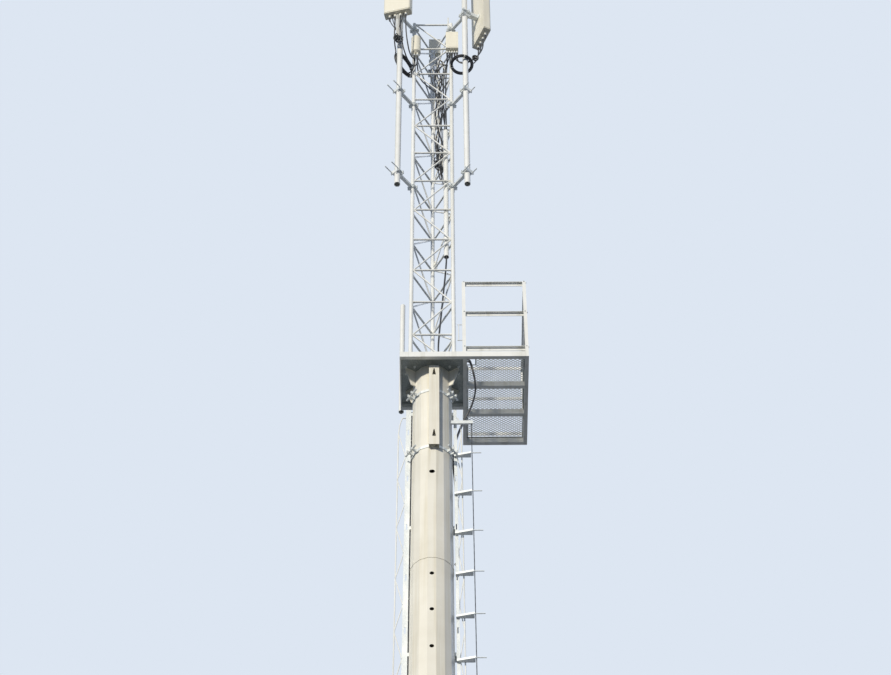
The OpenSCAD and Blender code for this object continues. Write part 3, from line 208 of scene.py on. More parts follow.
paintNodes(finishes)
print("CAD nodes painted")

# Sizes and places that the pieces below share, in metres, as in the CAD source
tower = {
    "head": 20.0,          # underside of the head plate
    "deck": 20.02,         # its upper side, level with the platform
    "halfTop": 0.1745,     # half of the pole's width at its head
    "halfFoot": 0.2375,
    "legX": 0.200, "legY": 0.11547, "legRear": 0.23094, "legD": 0.040,
    "pipeX": 0.350, "pipeY": 0.300, "pipeRear": 0.370, "pipeD": 0.0603,
    "seat": 0.0003,        # gap between pieces that rest against each other
}
headZ, deckZ = tower["head"], tower["deck"]
taper = atan((tower["halfFoot"] - tower["halfTop"]) / headZ)
armTurn = atan2(tower["legY"] - tower["pipeY"], tower["pipeX"] - tower["legX"])   # right leg to its pipe

# The antennas on the sector pipes: turn in degrees, gap between pipe and back, height of the lower end
antenna = {
    "left": {"side": -1, "turn": -14, "gap": .038, "low": 25.774},
    "right": {"side": 1, "turn": 115, "gap": .128, "low": 25.564},
    "depth": .090, "height": 1.600,
}


# Half width of the pole at height z, in proportion between head and foot
def poleHalf(z):
    return tower["halfFoot"] + (tower["halfTop"] - tower["halfFoot"]) * z / headZ


# Points given beside the pole, x away from it and s along its slope from the head: turned by the taper,
# x' = top + x cos t - s sin t, z' = head + x sin t + s cos t, with x' negative on the left
def besidePole(side, x, y, s):
    x, y, s = np.broadcast_arrays(np.asarray(x, float), np.asarray(y, float), np.asarray(s, float))
    return np.stack([side * (tower["halfTop"] + x * cos(taper) - s * sin(taper)), y,
                     headZ + x * sin(taper) + s * cos(taper)], axis=-1)


# Turn by an angle about the upright axis, for points that are rows: (x, y) to (x cos - y sin, x sin + y cos)
def upright(degrees):
    w = radians(degrees)
    return np.array([(cos(w), sin(w), 0), (-sin(w), cos(w), 0), (0, 0, 1)])


# Points given from the head plate's underside
def lift(points):
    return np.asarray(points, float) + (0, 0, headZ)


# Mesh of corners and lists of faces of one size each, on the root body, in place of any CAD nodes named; flat
# shading for bent strips
def addPiece(name, part, material, *replaced, flat=False, sharpDeg=38):
    verts, groups = part
    mesh = bpy.data.meshes.new(name)
    mesh.vertices.add(len(verts))
    mesh.vertices.foreach_set("co", np.asarray(verts, np.float32).ravel())
    sizes = np.concatenate([np.full(len(g), g.shape[1]) for g in groups])
    loops = np.concatenate([g.ravel() for g in groups]).astype(np.int32)
    mesh.loops.add(len(loops))
    mesh.loops.foreach_set("vertex_index", loops)
    mesh.polygons.add(len(sizes))
    mesh.polygons.foreach_set("loop_start", np.concatenate([[0], np.cumsum(sizes)[:-1]]).astype(np.int32))
    mesh.update(calc_edges=True)
    mesh.validate()
    if not flat:
        mesh.shade_smooth()
        mesh.set_sharp_from_angle(angle=radians(sharpDeg))
    mesh.materials.append(material)
    piece = bpy.data.objects.new(name, mesh)
    bpy.context.collection.objects.link(piece)
    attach(piece, "root")
    if replaced:
        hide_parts(*replaced)
    return piece


# Several parts as one: corners one after the other, faces counted on
def joined(parts):
    verts, groups, start = [], [], 0
    for v, gs in parts:
        verts.append(v)
        groups += [g + start for g in gs]
        start += len(v)
    return np.concatenate(verts), groups


# Closed nets from corners by copy, ring and side: walls between the rings and a face on both ends,
# the corner numbers of copy c counted on by c rings sides
def nets(corners):
    count, rings, sides = corners.shape[:3]
    i, j = np.meshgrid(np.arange(rings - 1), np.arange(sides), indexing="ij")
    a, b = i * sides + j, i * sides + (j + 1) % sides
    walls = np.stack([a, b, b + sides, a + sides], axis=-1).reshape(-1, 4)
    ends = np.stack([np.arange(sides)[::-1], (rings - 1) * sides + np.arange(sides)])
    shift = (np.arange(count) * rings * sides)[:, None, None]
    return corners.reshape(-1, 3), [(walls + shift).reshape(-1, 4), (ends + shift).reshape(-1, sides)]


# Smooth route through points: cubic pieces whose slopes come from the neighbours, weighed by chord length
def smoothPath(points, perPiece=6):
    p = np.asarray(points, float)
    h = np.linalg.norm(np.diff(p, axis=0), axis=1)[:, None]
    d = np.diff(p, axis=0) / h
    slope = np.empty_like(p)
    slope[0], slope[-1] = d[0], d[-1]
    slope[1:-1] = (d[:-1] * h[1:] + d[1:] * h[:-1]) / (h[1:] + h[:-1])
    t = np.linspace(0, 1, perPiece, endpoint=False)[None, :, None]
    a, b, ma, mb = p[:-1, None], p[1:, None], (slope[:-1] * h)[:, None], (slope[1:] * h)[:, None]
    mid = ((2 * t**3 - 3 * t**2 + 1) * a + (t**3 - 2 * t**2 + t) * ma + (3 * t**2 - 2 * t**3) * b
           + (t**3 - t**2) * mb).reshape(-1, 3)
    return np.vstack([mid, p[-1:]])


# Tube along a path: rings p + r(cos u N + sin u B), with N and B carried from ring to ring without twist
def tube(path, radius, sides=10):
    p = np.asarray(path, float)
    t = np.gradient(p, axis=0)
    t /= np.linalg.norm(t, axis=1)[:, None]
    side = np.cross(t[0], (0, 0, 1) if abs(t[0][2]) < 0.9 else (1, 0, 0))
    normals = []
    for along in t:
        side = side - along * (side @ along)
        side = side / np.linalg.norm(side)
        normals.append(side)
    n = np.array(normals)[:, None]
    b = np.cross(t, n[:, 0])[:, None]
    u = np.arange(sides)[None, :, None] * 2 * pi / sides
    return nets((p[:, None] + radius * (np.cos(u) * n + np.sin(u) * b))[None])


# Circles of points square to many directions, as unit vectors cos u N + sin u B
def circles(t, sides):
    up = np.where(np.abs(t[:, 2:3]) > 0.9, (1.0, 0.0, 0.0), (0.0, 0.0, 1.0))
    n = np.cross(up, t)
    n /= np.linalg.norm(n, axis=1)[:, None]
    u = np.arange(sides)[:, None] * 2 * pi / sides
    return np.cos(u) * n[:, None] + np.sin(u) * np.cross(t, n)[:, None]


# Copies of a turned shape: profile rows (radius, height) go round an axis at each place, all at once
def turned(profile, places, axes, sides=12):
    rows = np.asarray(profile, float)[None, :, None]
    o, t = np.atleast_2d(places).astype(float), np.atleast_2d(axes).astype(float)
    t = np.broadcast_to(t / np.linalg.norm(t, axis=1)[:, None], o.shape)
    rings = rows[..., 1:] * t[:, None, None] + rows[..., :1] * circles(t, sides)[:, None]
    return nets(o[:, None, None] + rings)


# Profile of a ring or rod from low to high whose edges are broken, inwards and along
def edged(radius, low, high, inwards, along):
    return [(radius - inwards, low), (radius, low + along), (radius, high - along), (radius - inwards, high)]


# A bead's rows from the bar's end inwards: (distance in bar diameters, share of the bead's full height)
beadRows = np.array([(0, 1.0), (.25, 1.0), (.5, .8), (.75, .35), (1.0, .1), (1.3, 0)])


# Round bars from a to b, many at once, with a weld bead round each end
def weldedBars(a, b, diameter, bead=0.0, sides=12):
    a, b = np.atleast_2d(a).astype(float), np.atleast_2d(b).astype(float)
    length = np.linalg.norm(b - a, axis=1)[:, None]
    t = (b - a) / length
    near = np.tile(beadRows[:, 0] * diameter, (len(a), 1))
    reach = np.hstack([near, length - near[:, ::-1]])[:, :, None, None]
    radius = (diameter / 2 + bead * np.concatenate([beadRows[:, 1], beadRows[::-1, 1]]))[None, :, None, None]
    return nets(a[:, None, None] + reach * t[:, None, None] + radius * circles(t, sides)[:, None])


# Flat bars with broken edges: rings of eight corners round a rectangle, both end rings drawn in by the chamfer
def flatBars(centres, halves, chamfer):
    c, h = np.atleast_2d(centres).astype(float), np.atleast_2d(halves).astype(float)
    h = np.broadcast_to(h, c.shape)[:, None, None]
    signX, cutX = np.array([1, 1, 1, -1, -1, -1, -1, 1]), np.array([0, 0, 1, 1, 0, 0, 1, 1])
    signY, cutY = np.array([-1, 1, 1, 1, 1, -1, -1, -1]), np.array([1, 1, 0, 0, 1, 1, 0, 0])
    end, drawn = np.array([-1, -1, 1, 1])[:, None], np.array([1, 0, 0, 1])[:, None]
    x = signX * (h[..., 0] - chamfer * (cutX + drawn))
    y = signY * (h[..., 1] - chamfer * (cutY + drawn))
    z = end * (h[..., 2] - chamfer * (1 - drawn)) + 0 * x
    return nets(np.stack([x, y, z], axis=-1) + c[:, None, None])


# Hexagon nuts or bolt heads of size m on washers, each with a stub of thread: rows as shares of m
def hexFasteners(places, axes, m, stub):
    nut = [(.7912, .12), (.92, .2), (.92, .82), (.7912, .92)]
    tip = [(.46, .9), (.5, .94), (.5, .9 + stub), (.42, .98 + stub)]
    washer = edged(1.1, 0, .14, .05, .02)
    return joined([turned(m * np.array(rows), places, axes, sides)
                   for rows, sides in ((nut, 6), (washer, 14), (tip, 10))])


# Free cords: jumper cables and the two coils of spare cable

# Routes in metres as the CAD source has them, with heights from the head plate's underside
jumper = {
    "diameter": 0.014,
    "leftNear": [
        (-.29, -.432, 5.74), (-.29, -.432, 5.66), (-.288, -.424, 5.54), (-.282, -.398, 5.4),
        (-.266, -.345, 5.27), (-.24, -.28, 5.17), (-.212, -.234, 5.15), (-.197, -.216, 5.19),
        (-.196, -.214, 5.25)],
    "leftFar": [
        (-.348, -.417, 5.74), (-.348, -.417, 5.64), (-.344, -.41, 5.48), (-.33, -.38, 5.3), (-.3, -.335, 5.13),
        (-.255, -.265, 5.04), (-.205, -.21, 5.02), (-.172, -.2, 5.07), (-.164, -.212, 5.14),
        (-.164, -.214, 5.2), (-.164, -.214, 5.25)],
    "leftIn": [
        (-.406, -.402, 5.74), (-.406, -.402, 5.64), (-.408, -.392, 5.5), (-.41, -.352, 5.37),
        (-.404, -.306, 5.29), (-.394, -.274, 5.226)],
    "leftOut": [
        (-.2797, -.1509, 4.9865), (-.262, -.148, 4.99), (-.244, -.149, 5.001), (-.224, -.153, 5.026),
        (-.206, -.162, 5.072), (-.198, -.175, 5.145), (-.196, -.182, 5.205), (-.196, -.182, 5.25)],
    "rightNear": [
        (.547, -.241, 5.53), (.547, -.241, 5.46), (.54, -.241, 5.35), (.505, -.238, 5.23), (.43, -.22, 5.13),
        (.345, -.205, 5.09), (.29, -.2, 5.11), (.266, -.199, 5.19), (.264, -.199, 5.32)],
    "rightFar": [
        (.521, -.187, 5.53), (.521, -.187, 5.46), (.51, -.184, 5.34), (.462, -.178, 5.24), (.37, -.172, 5.175),
        (.29, -.175, 5.16), (.246, -.19, 5.2), (.237, -.199, 5.26), (.237, -.199, 5.32)],
    "rightIn": [
        (.496, -.133, 5.53), (.496, -.133, 5.45), (.488, -.142, 5.31), (.462, -.176, 5.17),
        (.436, -.214, 5.07), (.425, -.238, 5.024), (.421, -.252, 5.0155)],
    "rightOut": [
        (.196, -.247, 5.007), (.199, -.225, 5.036), (.204, -.208, 5.09), (.209, -.2, 5.15), (.21, -.199, 5.23),
        (.21, -.199, 5.32)],
}

# Across and up span a coil's plane and normal stands on it. The cable also goes round inside the bundle
coils = {
    "left": {
        "middle": (-.3032, -.1576, 5.14),
        "across": (-.6308, -.776, 0), "up": (0, 0, 1), "normal": (-.776, .6308, 0),
        "radius": .14, "bundle": .0141,
        "startDeg": 0, "endDeg": -90 - 5 * 360, "rollStartDeg": 0, "rollPerTurnDeg": 60,
        "tiesDeg": (62, 150, 235, 315),
    },
    "right": {
        "middle": (.3112, -.2522, 4.99),
        "across": (1, 0, 0), "up": (0, 1, 0), "normal": (0, 0, 1),
        "radius": .11, "bundle": .0105,
        "startDeg": -25, "endDeg": 190 - 4 * 360, "rollStartDeg": 90, "rollPerTurnDeg": 90,
        "tiesDeg": (65, 165, 285),
    },
}


# Directions at angles w of a coil: outwards, cos w A + sin w U, and along its turns, cos w U - sin w A
def coilRim(k, w):
    a, u = np.array(k["across"]), np.array(k["up"])
    c, s = np.cos(w)[:, None], np.sin(w)[:, None]
    return c * a + s * u, c * u - s * a


# Turns of a coil: c + (R + q cos f)(cos w A + sin w U) + q sin f N, where f grows with the angle w wound
def coilTurns(k, perTurn=24):
    count = int(abs(k["endDeg"] - k["startDeg"]) / 360 * perTurn) + 1
    w = np.radians(np.linspace(k["startDeg"], k["endDeg"], count))
    f = np.radians(k["rollStartDeg"]) + np.abs(w - w[0]) / (2 * pi) * np.radians(k["rollPerTurnDeg"])
    outwards = coilRim(k, w)[0]
    return (np.array(k["middle"]) + (k["radius"] + k["bundle"] * np.cos(f))[:, None] * outwards
            + (k["bundle"] * np.sin(f))[:, None] * np.array(k["normal"]))


# So many points along a path, at equal steps
def evenly(path, count):
    s = np.concatenate([[0], np.cumsum(np.linalg.norm(np.diff(path, axis=0), axis=1))])
    at = np.linspace(0, s[-1], count)
    return np.stack([np.interp(at, s, path[:, axis]) for axis in range(3)], axis=1)


# Hanging route: passes of (left + 2 own + right) / 4 between its straight ends spread each bend
def easedPath(points, count=40, passes=15, held=4):
    p = evenly(smoothPath(points, 12), 3 * count)
    for _ in range(passes):
        p[held:-held] = (p[held - 1:-held - 1] + 2 * p[held:-held] + p[held + 1:len(p) - held + 1]) / 4
    return evenly(p, count)


# Jumper cable along a path, back into the object, in place of its CAD solids
def addCord(name, path, replaced):
    piece = addPiece(name, tube(path, jumper["diameter"] / 2), blackSheath, *replaced)


# On each side two jumpers hang from antenna to box, and a third runs through the coil
for side, coil in coils.items():
    for end in ("Near", "Far"):
        path = easedPath(lift(jumper[side + end]))
        addCord("jumper" + side.title() + end, path, ["jumpers_" + side])
    points = np.vstack([jumper[side + "In"], coilTurns(coil), jumper[side + "Out"]])
    addCord("coiledJumper" + side.title(), smoothPath(lift(points), 2),
            ["coil_" + side, "jumpers_" + side])
print("cords made")

# Expanded metal of the platform, with a notch at the front left for the cables
expanded = {
    "left": .3175, "right": .8445, "front": -.2815, "rear": .7145, "low": 20.0161, "high": 20.0199,
    "cell": (.04, .027), "strand": .0064, "blunt": .0004, "rim": .01, "chamfer": .0006,
    "notchRight": .3973, "notchFront": -.27, "notchRear": -.16,
}


# Strands between x0 and x1 at mean depths ys: y = ym + a (-1)^(i + j), their section leaning up to the rear
def zigzagStrands(x0, x1, ys, odd, k):
    steps = max(int(round((x1 - x0) / (k["cell"][0] / 2))), 1)
    swing = k["cell"][1] / 4 * (1 - 2 * ((np.arange(steps + 1)[None] + odd[:, None]) % 2))
    w, middle = k["strand"] / 2, (k["low"] + k["high"]) / 2
    section = np.array([(-w, k["low"]), (w, middle - k["blunt"]), (w, k["high"]), (-w, middle + k["blunt"])])
    v = np.empty((len(ys), steps + 1, 4, 3))
    v[..., 0] = np.linspace(x0, x1, steps + 1)[None, :, None]
    v[..., 1] = (ys[:, None] + swing)[..., None] + section[:, 0]
    v[..., 2] = section[:, 1]
    return nets(v)


# Strands half a cell apart, shorter beside the notch, and the rim's bars from (x0, y0) to (x1, y1)
def makeGrating(k):
    left, right, front, rear = k["left"], k["right"], k["front"], k["rear"]
    notch, notchFront, notchRear = k["notchRight"], k["notchFront"], k["notchRear"]
    step, rim, r = k["cell"][1] / 2, k["rim"], k["rim"] / 2
    count = int((rear - front - k["cell"][1]) / step)
    ys = (front + rear) / 2 + (np.arange(count) - (count - 1) / 2) * step
    odd = np.arange(count) % 2
    short = (ys > notchFront - step) & (ys < notchRear + step)
    bars = np.array([
        ((left, front), (right, front + rim)), ((left, rear - rim), (right, rear)),
        ((right - rim, front + rim), (right, rear - rim)), ((left, notchRear + rim), (left + rim, rear - rim)),
        ((notch - r, notchFront - r), (notch + r, notchRear + r)),
        ((left, notchRear - r), (notch, notchRear + r))])
    low, high = (np.insert(bars[:, i], 2, k[z], axis=1) for i, z in enumerate(("low", "high")))
    return joined([zigzagStrands(left + r, right - r, ys[~short], odd[~short], k),
                   zigzagStrands(notch, right - r, ys[short], odd[short], k),
                   flatBars((low + high) / 2, (high - low) / 2, k["chamfer"])])


addPiece("expandedMetal", makeGrating(expanded), zinc, "platform_grating", flat=True)
print("grating made")

# Lattice of the mast: level and diagonal round bars, and a pin on its front
lattice = {
    "base": deckZ, "panels": 12, "panel": .5, "turned": 6, "firstNode": .06, "drop": .06,
    "reach": .1842, "level": .02, "diagonal": .016, "bead": .0035,
    "pin": {"foot": (.17, -tower["legY"], 25.95), "radius": .0075, "long": .22, "edge": (.0015, .002)},
}


# Ends of one side's bars, turned about the mast: levels at base + k panel - drop, diagonals from node to node,
# their lower end changing sides from panel to panel
def latticeSide(turnDeg, drop, k):
    n = np.arange(k["panels"] + 1)
    z = k["base"] + np.where(n == 0, k["firstNode"], n * k["panel"] - drop)
    y, r = np.full(k["panels"], -tower["legY"]), np.full(k["panels"], k["reach"])
    lower = np.where((n[:-1] % 2 == 0) == (n[:-1] < k["turned"]), r, -r)
    ends = ((-r, z[1:]), (r, z[1:]), (lower, z[:-1]), (-lower, z[1:]))
    return [np.stack([x, y, height], 1) @ upright(turnDeg) for x, height in ends]


# One side's bars, in place of the CAD node of the same name
def addBracing(node, turnDeg, drop, k, extras=()):
    levelA, levelB, diagonalA, diagonalB = latticeSide(turnDeg, drop, k)
    part = joined([weldedBars(levelA, levelB, k["level"], k["bead"]),
                   weldedBars(diagonalA, diagonalB, k["diagonal"], k["bead"]), *extras])
    addPiece(node + "Welded", part, mastPaint, node)


# Upright pin with broken edges
def makePin(k):
    return turned(edged(k["radius"], 0, k["long"], *k["edge"]), k["foot"], (0, 0, 1), 14)


addBracing("bracing_front", 0, 0, lattice, [makePin(lattice["pin"])])
addBracing("bracing_right", 120, lattice["drop"], lattice)
addBracing("bracing_left", 240, lattice["drop"], lattice)

# Ladders beside the pole: an outer rod and zigzag rods welded to it and to the tray. The rod's neck is given
# inwards from it and upwards from its end
ladder = {
    "top": -.445, "low": -17.4, "pitch": .31, "chord": .012, "lace": .009, "bent": .01, "bead": .0025,
    "intoTray": .0005, "neck": [(0, -.02), (.003, .03), (.029, .197), (.034, .211)], "neckTop": .213,
    "left": {"inner": .059, "rod": .125, "side": -1},
    "right": {"inner": .043, "rod": .084, "side": 1},
}


# Zigzag nodes i = 0..n at s = start - i pitch, in turn on the outer rod and on the tray
def makeLacing(k, e):
    start, bend = k["top"] - k["pitch"], k["chord"] / 2
    i = np.arange(int((start - k["low"] - k["pitch"]) / k["pitch"]) + 1)
    x, s = np.where(i % 2 == 0, e["rod"], e["inner"] - k["intoTray"]), start - i * k["pitch"]
    low = besidePole(e["side"], x[:-1], 0, s[:-1] - bend)
    high = besidePole(e["side"], x[1:], 0, s[1:] + bend)
    foot, head = besidePole(e["side"], e["rod"], 0, [k["low"], start])
    inwards, up = np.transpose([*k["neck"], (e["rod"] - e["inner"], k["neckTop"])])
    neck = besidePole(e["side"], e["rod"] - inwards, 0, start + up)
    return joined([weldedBars(low, high, k["lace"], k["bead"], 8), weldedBars(foot, head, k["chord"]),
                   tube(smoothPath(neck, 5), k["bent"] / 2)])


for side in ("left", "right"):
    addPiece("weldedLacing_" + side, makeLacing(ladder, ladder[side]), mastPaint, "lacing_" + side)
print("lattice and lacing made")

# Held cables: two feeders down the pole, and the cables of the mast
feeder = {
    "diameter": .016, "apart": .018,
    "high": [
        (.136, -.07, 1.85), (.136, -.07, 1.74), (.128, -.066, 1.56), (.108, -.056, 1.26), (.084, -.046, .9),
        (.062, -.04, .56), (.056, -.038, .38), (.064, -.04, .25), (.092, -.046, .15), (.13, -.052, .1),
        (.164, -.056, .08), (.19, -.06, .072), (.218, -.08, .068), (.25, -.114, .062), (.286, -.15, .05),
        (.318, -.184, .036), (.342, -.206, 0), (.356, -.214, -.06), (.372, -.204, -.14), (.388, -.166, -.22),
        (.39, -.108, -.3), (.368, -.048, -.38), (.328, .004, -.47), (.28, .036, -.57), (.232, .048, -.72)],
    "sideHeights": (19.15, 18.5, 9.6, 2.62),
    "sideOut": .0243,
    "sideY": .05,
    "low": [
        (.032, .049, .29), (.034, .048, .23), (.046, .046, .17), (.068, .042, .122), (.088, .037, .084),
        (.096, .031, .048), (.088, .026, .016), (.068, .022, -.004), (.038, .018, -.012), (.002, .015, -.016),
        (-.034, .013, -.019)],
    "portZ": 2.25,
    "tieTop": 18.9, "tiePitch": 1.3, "tieCount": 13, "tieBelow": 19.1,
    "tie": {"radius": .01824, "half": .003, "edge": (.0011, .0012)},
}


# Second of a pair of cables: moved by the distance apart along n = (0, t3, -t2), square to the first one's t
def besideCable(path, apart):
    t = np.gradient(path, axis=0)
    n = np.stack([0 * t[:, 0], t[:, 2], -t[:, 1]], 1)
    n /= np.linalg.norm(n, axis=1)[:, None]
    return path + apart * n


# Route with points from the head plate, points so far out from the pole and points from the port
def feederPath(k):
    z = np.array(k["sideHeights"])
    side = np.stack([poleHalf(z) + k["sideOut"], k["sideY"] + 0 * z, z], 1)
    low = np.array(k["low"]) + (poleHalf(k["portZ"]), 0, k["portZ"])
    return smoothPath(np.vstack([lift(k["high"]), side, low]))


feederA = feederPath(feeder)
feederB = besideCable(feederA, feeder["apart"])
feederPair = joined([tube(path, feeder["diameter"] / 2) for path in (feederA, feederB)])
addPiece("feederPair", feederPair, blackSheath, "feeder_cables")

# Four cables run to the boxes; slack ones, black and pale, are closed loops of two routes each
mastCable = {
    "diameter": .014, "slackShare": .8, "paleShare": .75, "loopReach": .045, "slackSides": 8,
    "routes": [
        [(.144, -.07, 3.9), (.144, -.07, 4.05), (.14, -.066, 4.4), (.138, -.064, 4.8), (.142, -.072, 5),
         (.15, -.1, 5.13), (.155, -.15, 5.2), (.156, -.19, 5.24), (.156, -.199, 5.28), (.156, -.199, 5.32)],
        [(.127, -.07, 3.9), (.127, -.07, 4.06), (.12, -.06, 4.4), (.116, -.054, 4.85), (.122, -.06, 5.03),
         (.138, -.09, 5.16), (.16, -.14, 5.22), (.178, -.18, 5.24), (.183, -.199, 5.275), (.183, -.199, 5.32)],
        [(.144, -.088, 3.9), (.144, -.088, 4.06), (.128, -.084, 4.33), (.09, -.08, 4.56), (.02, -.07, 4.74),
         (-.06, -.07, 4.86), (-.12, -.076, 4.96), (-.15, -.092, 5.07), (-.163, -.124, 5.15),
         (-.166, -.16, 5.17), (-.164, -.18, 5.2), (-.164, -.182, 5.25)],
        [(.127, -.088, 3.9), (.127, -.088, 4.06), (.11, -.076, 4.26), (.09, -.044, 4.48), (.074, 0, 4.8),
         (.056, .07, 5.2), (.044, .11, 5.5), (.046, .14, 5.7), (.06, .176, 5.82), (.068, .226, 5.9),
         (.065, .272, 5.94), (.063, .286, 5.98), (.063, .286, 6.01)],
    ],
    "slack": [
        [(.1, -.044, 3.6), (.096, -.046, 4.05), (.06, -.036, 4.45), (.076, -.02, 4.8), (.11, -.04, 5.1),
         (.096, -.066, 5.34)],
        [(.112, -.046, 3.5), (.088, -.02, 3.92), (.034, -.01, 4.3), (.046, -.044, 4.62), (.092, -.05, 4.92),
         (.07, -.07, 5.3)],
        [(.1, -.07, 3.66), (.06, -.062, 4.02), (.028, -.03, 4.22), (.07, .006, 4.52), (.06, -.02, 4.9),
         (.118, -.072, 5.28)],
        [(.104, -.03, 3.3), (.06, .01, 3.66), (.02, .02, 4), (.052, -.006, 4.4), (.03, -.04, 4.8),
         (.05, -.066, 5.22)],
        [(.094, -.052, 3.4), (.05, -.03, 3.74), (.084, .004, 4.14), (.104, -.016, 4.56), (.058, -.034, 4.96),
         (.14, -.08, 5.26)],
        [(.088, -.014, 3.2), (.044, 0, 3.56), (.066, -.026, 3.96), (.024, -.052, 4.36), (.082, -.062, 4.74),
         (.04, -.06, 5.12)],
        [(.11, -.02, 3.1), (.07, -.04, 3.48), (.034, -.06, 3.82), (.08, -.036, 4.18), (.11, 0, 4.6),
         (.086, -.04, 5.06)],
        [(.076, -.066, 3.3), (.03, -.046, 3.7), (.05, .014, 4.1), (.09, .014, 4.42), (.04, .004, 4.76),
         (.016, -.052, 5.2)],
    ],
    "pale": [
        [(.106, -.056, 3.54), (.078, -.04, 3.98), (.05, -.058, 4.38), (.092, -.03, 4.7), (.072, -.01, 5.02),
         (.104, -.058, 5.36)],
        [(.098, -.04, 3.36), (.04, -.02, 3.8), (.07, .02, 4.24), (.048, .01, 4.66), (.094, -.018, 5),
         (.056, -.068, 5.32)],
        [(.084, -.03, 3.26), (.066, -.006, 3.62), (.022, -.034, 4.06), (.058, -.06, 4.5), (.036, -.01, 4.86),
         (.128, -.068, 5.2)],
        [(.07, -.05, 3.44), (.092, -.022, 3.86), (.04, 0, 4.16), (.02, -.02, 4.56), (.066, -.046, 4.94),
         (.026, -.066, 5.28)],
    ],
}


# Closed loop of slack: up one route, over, down the next, and under, smooth where it closes
def slackLoop(up, down, reach, perPiece=6):
    up, down = np.array(up), np.array(down)
    over, under = (up[-1] + down[-1]) / 2 + (0, 0, reach), (up[0] + down[0]) / 2 - (0, 0, reach)
    p = np.vstack([up, over, down[::-1], under])
    full = smoothPath(np.vstack([p[-2:], p, p[:3]]), perPiece)
    return lift(full[2 * perPiece:(2 + len(p)) * perPiece + 1])


# Loops of routes two by two, as thick as a share of the mast's cables
def slackLoops(routes, share, k):
    return [tube(slackLoop(up, down, k["loopReach"]), k["diameter"] / 2 * share, k["slackSides"])
            for up, down in zip(routes[::2], routes[1::2])]


mastRuns = [tube(smoothPath(lift(route)), mastCable["diameter"] / 2) for route in mastCable["routes"]]
mastRuns += slackLoops(mastCable["slack"], mastCable["slackShare"], mastCable)
paleRuns = slackLoops(mastCable["pale"], mastCable["paleShare"], mastCable)
addPiece("mastCableRuns", joined(mastRuns), blackSheath, "mast_cables")
addPiece("paleMastCables", joined(paleRuns), greySheath)

# Spare cables under the left antenna: they hang to a tie in front of the sector pipe.
# Belly and near are points on the way, by their share of it and the height added
dropCables = {
    "diameter": .011, "paleShare": .9, "sides": 8, "apart": (.0066, .006), "firstTurn": .5,
    "dark": [(-.4647, -.388, 5.74), (-.4356, -.3952, 5.772), (-.3192, -.4243, 5.772)],
    "pale": [(-.392, -.4061, 5.772), (-.3774, -.4098, 5.772), (-.362, -.4136, 5.772)],
    "tie": (-.376, -.384, 5.348),
    "straight": .02, "belly": (.14, -.055), "near": (.58, .008), "above": .045, "below": .03,
    "tail": (.02, .012, -.062), "tailTurn": 1,
    "knot": {"radius": .0205, "half": .008, "edge": (.0025, .002)},
}


# Route of cable i of six: down from its start in a belly, through its own place in the tie, and out below
def dropRoute(start, i, k):
    w = i * pi / 3 + k["firstTurn"]
    out, (tailX, tailY, tailZ) = w + k["tailTurn"], k["tail"]
    place = np.array(k["tie"]) + (2 * k["apart"][0] * cos(w), 2 * k["apart"][1] * sin(w), 0)
    start = np.array(start)
    belly, near = (start * (1 - share) + place * share + (0, 0, z) for share, z in (k["belly"], k["near"]))
    return smoothPath(lift([
        start, start - (0, 0, k["straight"]), belly, near, place + (0, 0, k["above"]), place,
        place - (0, 0, k["below"]), place + (tailX * cos(out), tailY * sin(out), tailZ)]))


# Tubes from some starts, numbered from first, as thick as a share of the dark ones
def dropTubes(starts, first, share, k):
    return [tube(dropRoute(start, first + i, k), k["diameter"] / 2 * share, k["sides"])
            for i, start in enumerate(starts)]


# Skeins: middle, half width and height, reach of the rings' shift, number of rings, cable radius
skeins = {
    "antenna": ((-.376, -.398, 5.285), (.05, .052), (.01, .006, .012), 8, .0055),
    "coilRight": ((.452, -.268, 5.095), (.032, .04), (.006, .006, .008), 6, .0055),
    "mastLow": ((.05, -.04, 3.42), (.04, .07), (.01, .008, .03), 7, .0058),
    "mastHigh": ((.066, -.026, 3.64), (.034, .08), (.012, .01, .035), 6, .0055),
    "paleLeg": ((.03, .19, 2.02), (.026, .05), (.006, .006, .012), 4, .0045),
    "paleFoot": ((.034, .188, .56), (.03, .05), (.008, .006, .012), 5, .0045),
}

# Points per ring, radians from ring to ring, reach of a ring's two axes, rates at which its middle shifts, and
# mean, swing and rate of its width and height
skeinForm = {
    "points": 29, "turn": 2.4, "across": (1.0, .55, .3), "upward": (-.32, .26, 1.0),
    "shift": (1.7, 2.9, 4.1), "wide": (.78, .22, 3.1), "high": (.8, .2, 2.3),
}


# Wound-up slack, ring i being m + s(i) + a(i) cos w E1 + b(i) sin w E2 with g = turn i,
# E1 = across (cos g, sin g, sin(2 g + 1)) and E2 = upward (sin g, cos g, 1)
def skein(k, form):
    middle, (wide, high), shift, count, radius = k
    (sx, sy, sz), (aMean, aSwing, aRate), (bMean, bSwing, bRate) = form["shift"], form["wide"], form["high"]
    w = np.linspace(0, 2 * pi, form["points"])[:, None]
    rings = []
    for i in range(count):
        g = form["turn"] * i
        e1 = np.multiply(form["across"], (cos(g), sin(g), sin(2 * g + 1)))
        e2 = np.multiply(form["upward"], (sin(g), cos(g), 1))
        m = middle + np.multiply(shift, (cos(sx * i), sin(sy * i), cos(sz * i)))
        a = wide * (aMean + aSwing * cos(aRate * i))
        b = high * (bMean + bSwing * sin(bRate * i))
        rings.append(tube(lift(m + a * np.cos(w) * e1 + b * np.sin(w) * e2), radius, 8))
    return rings


# Rings with broken edges
def band(k, places, axes, sides):
    return turned(edged(k["radius"], -k["half"], k["half"], *k["edge"]), places, axes, sides)


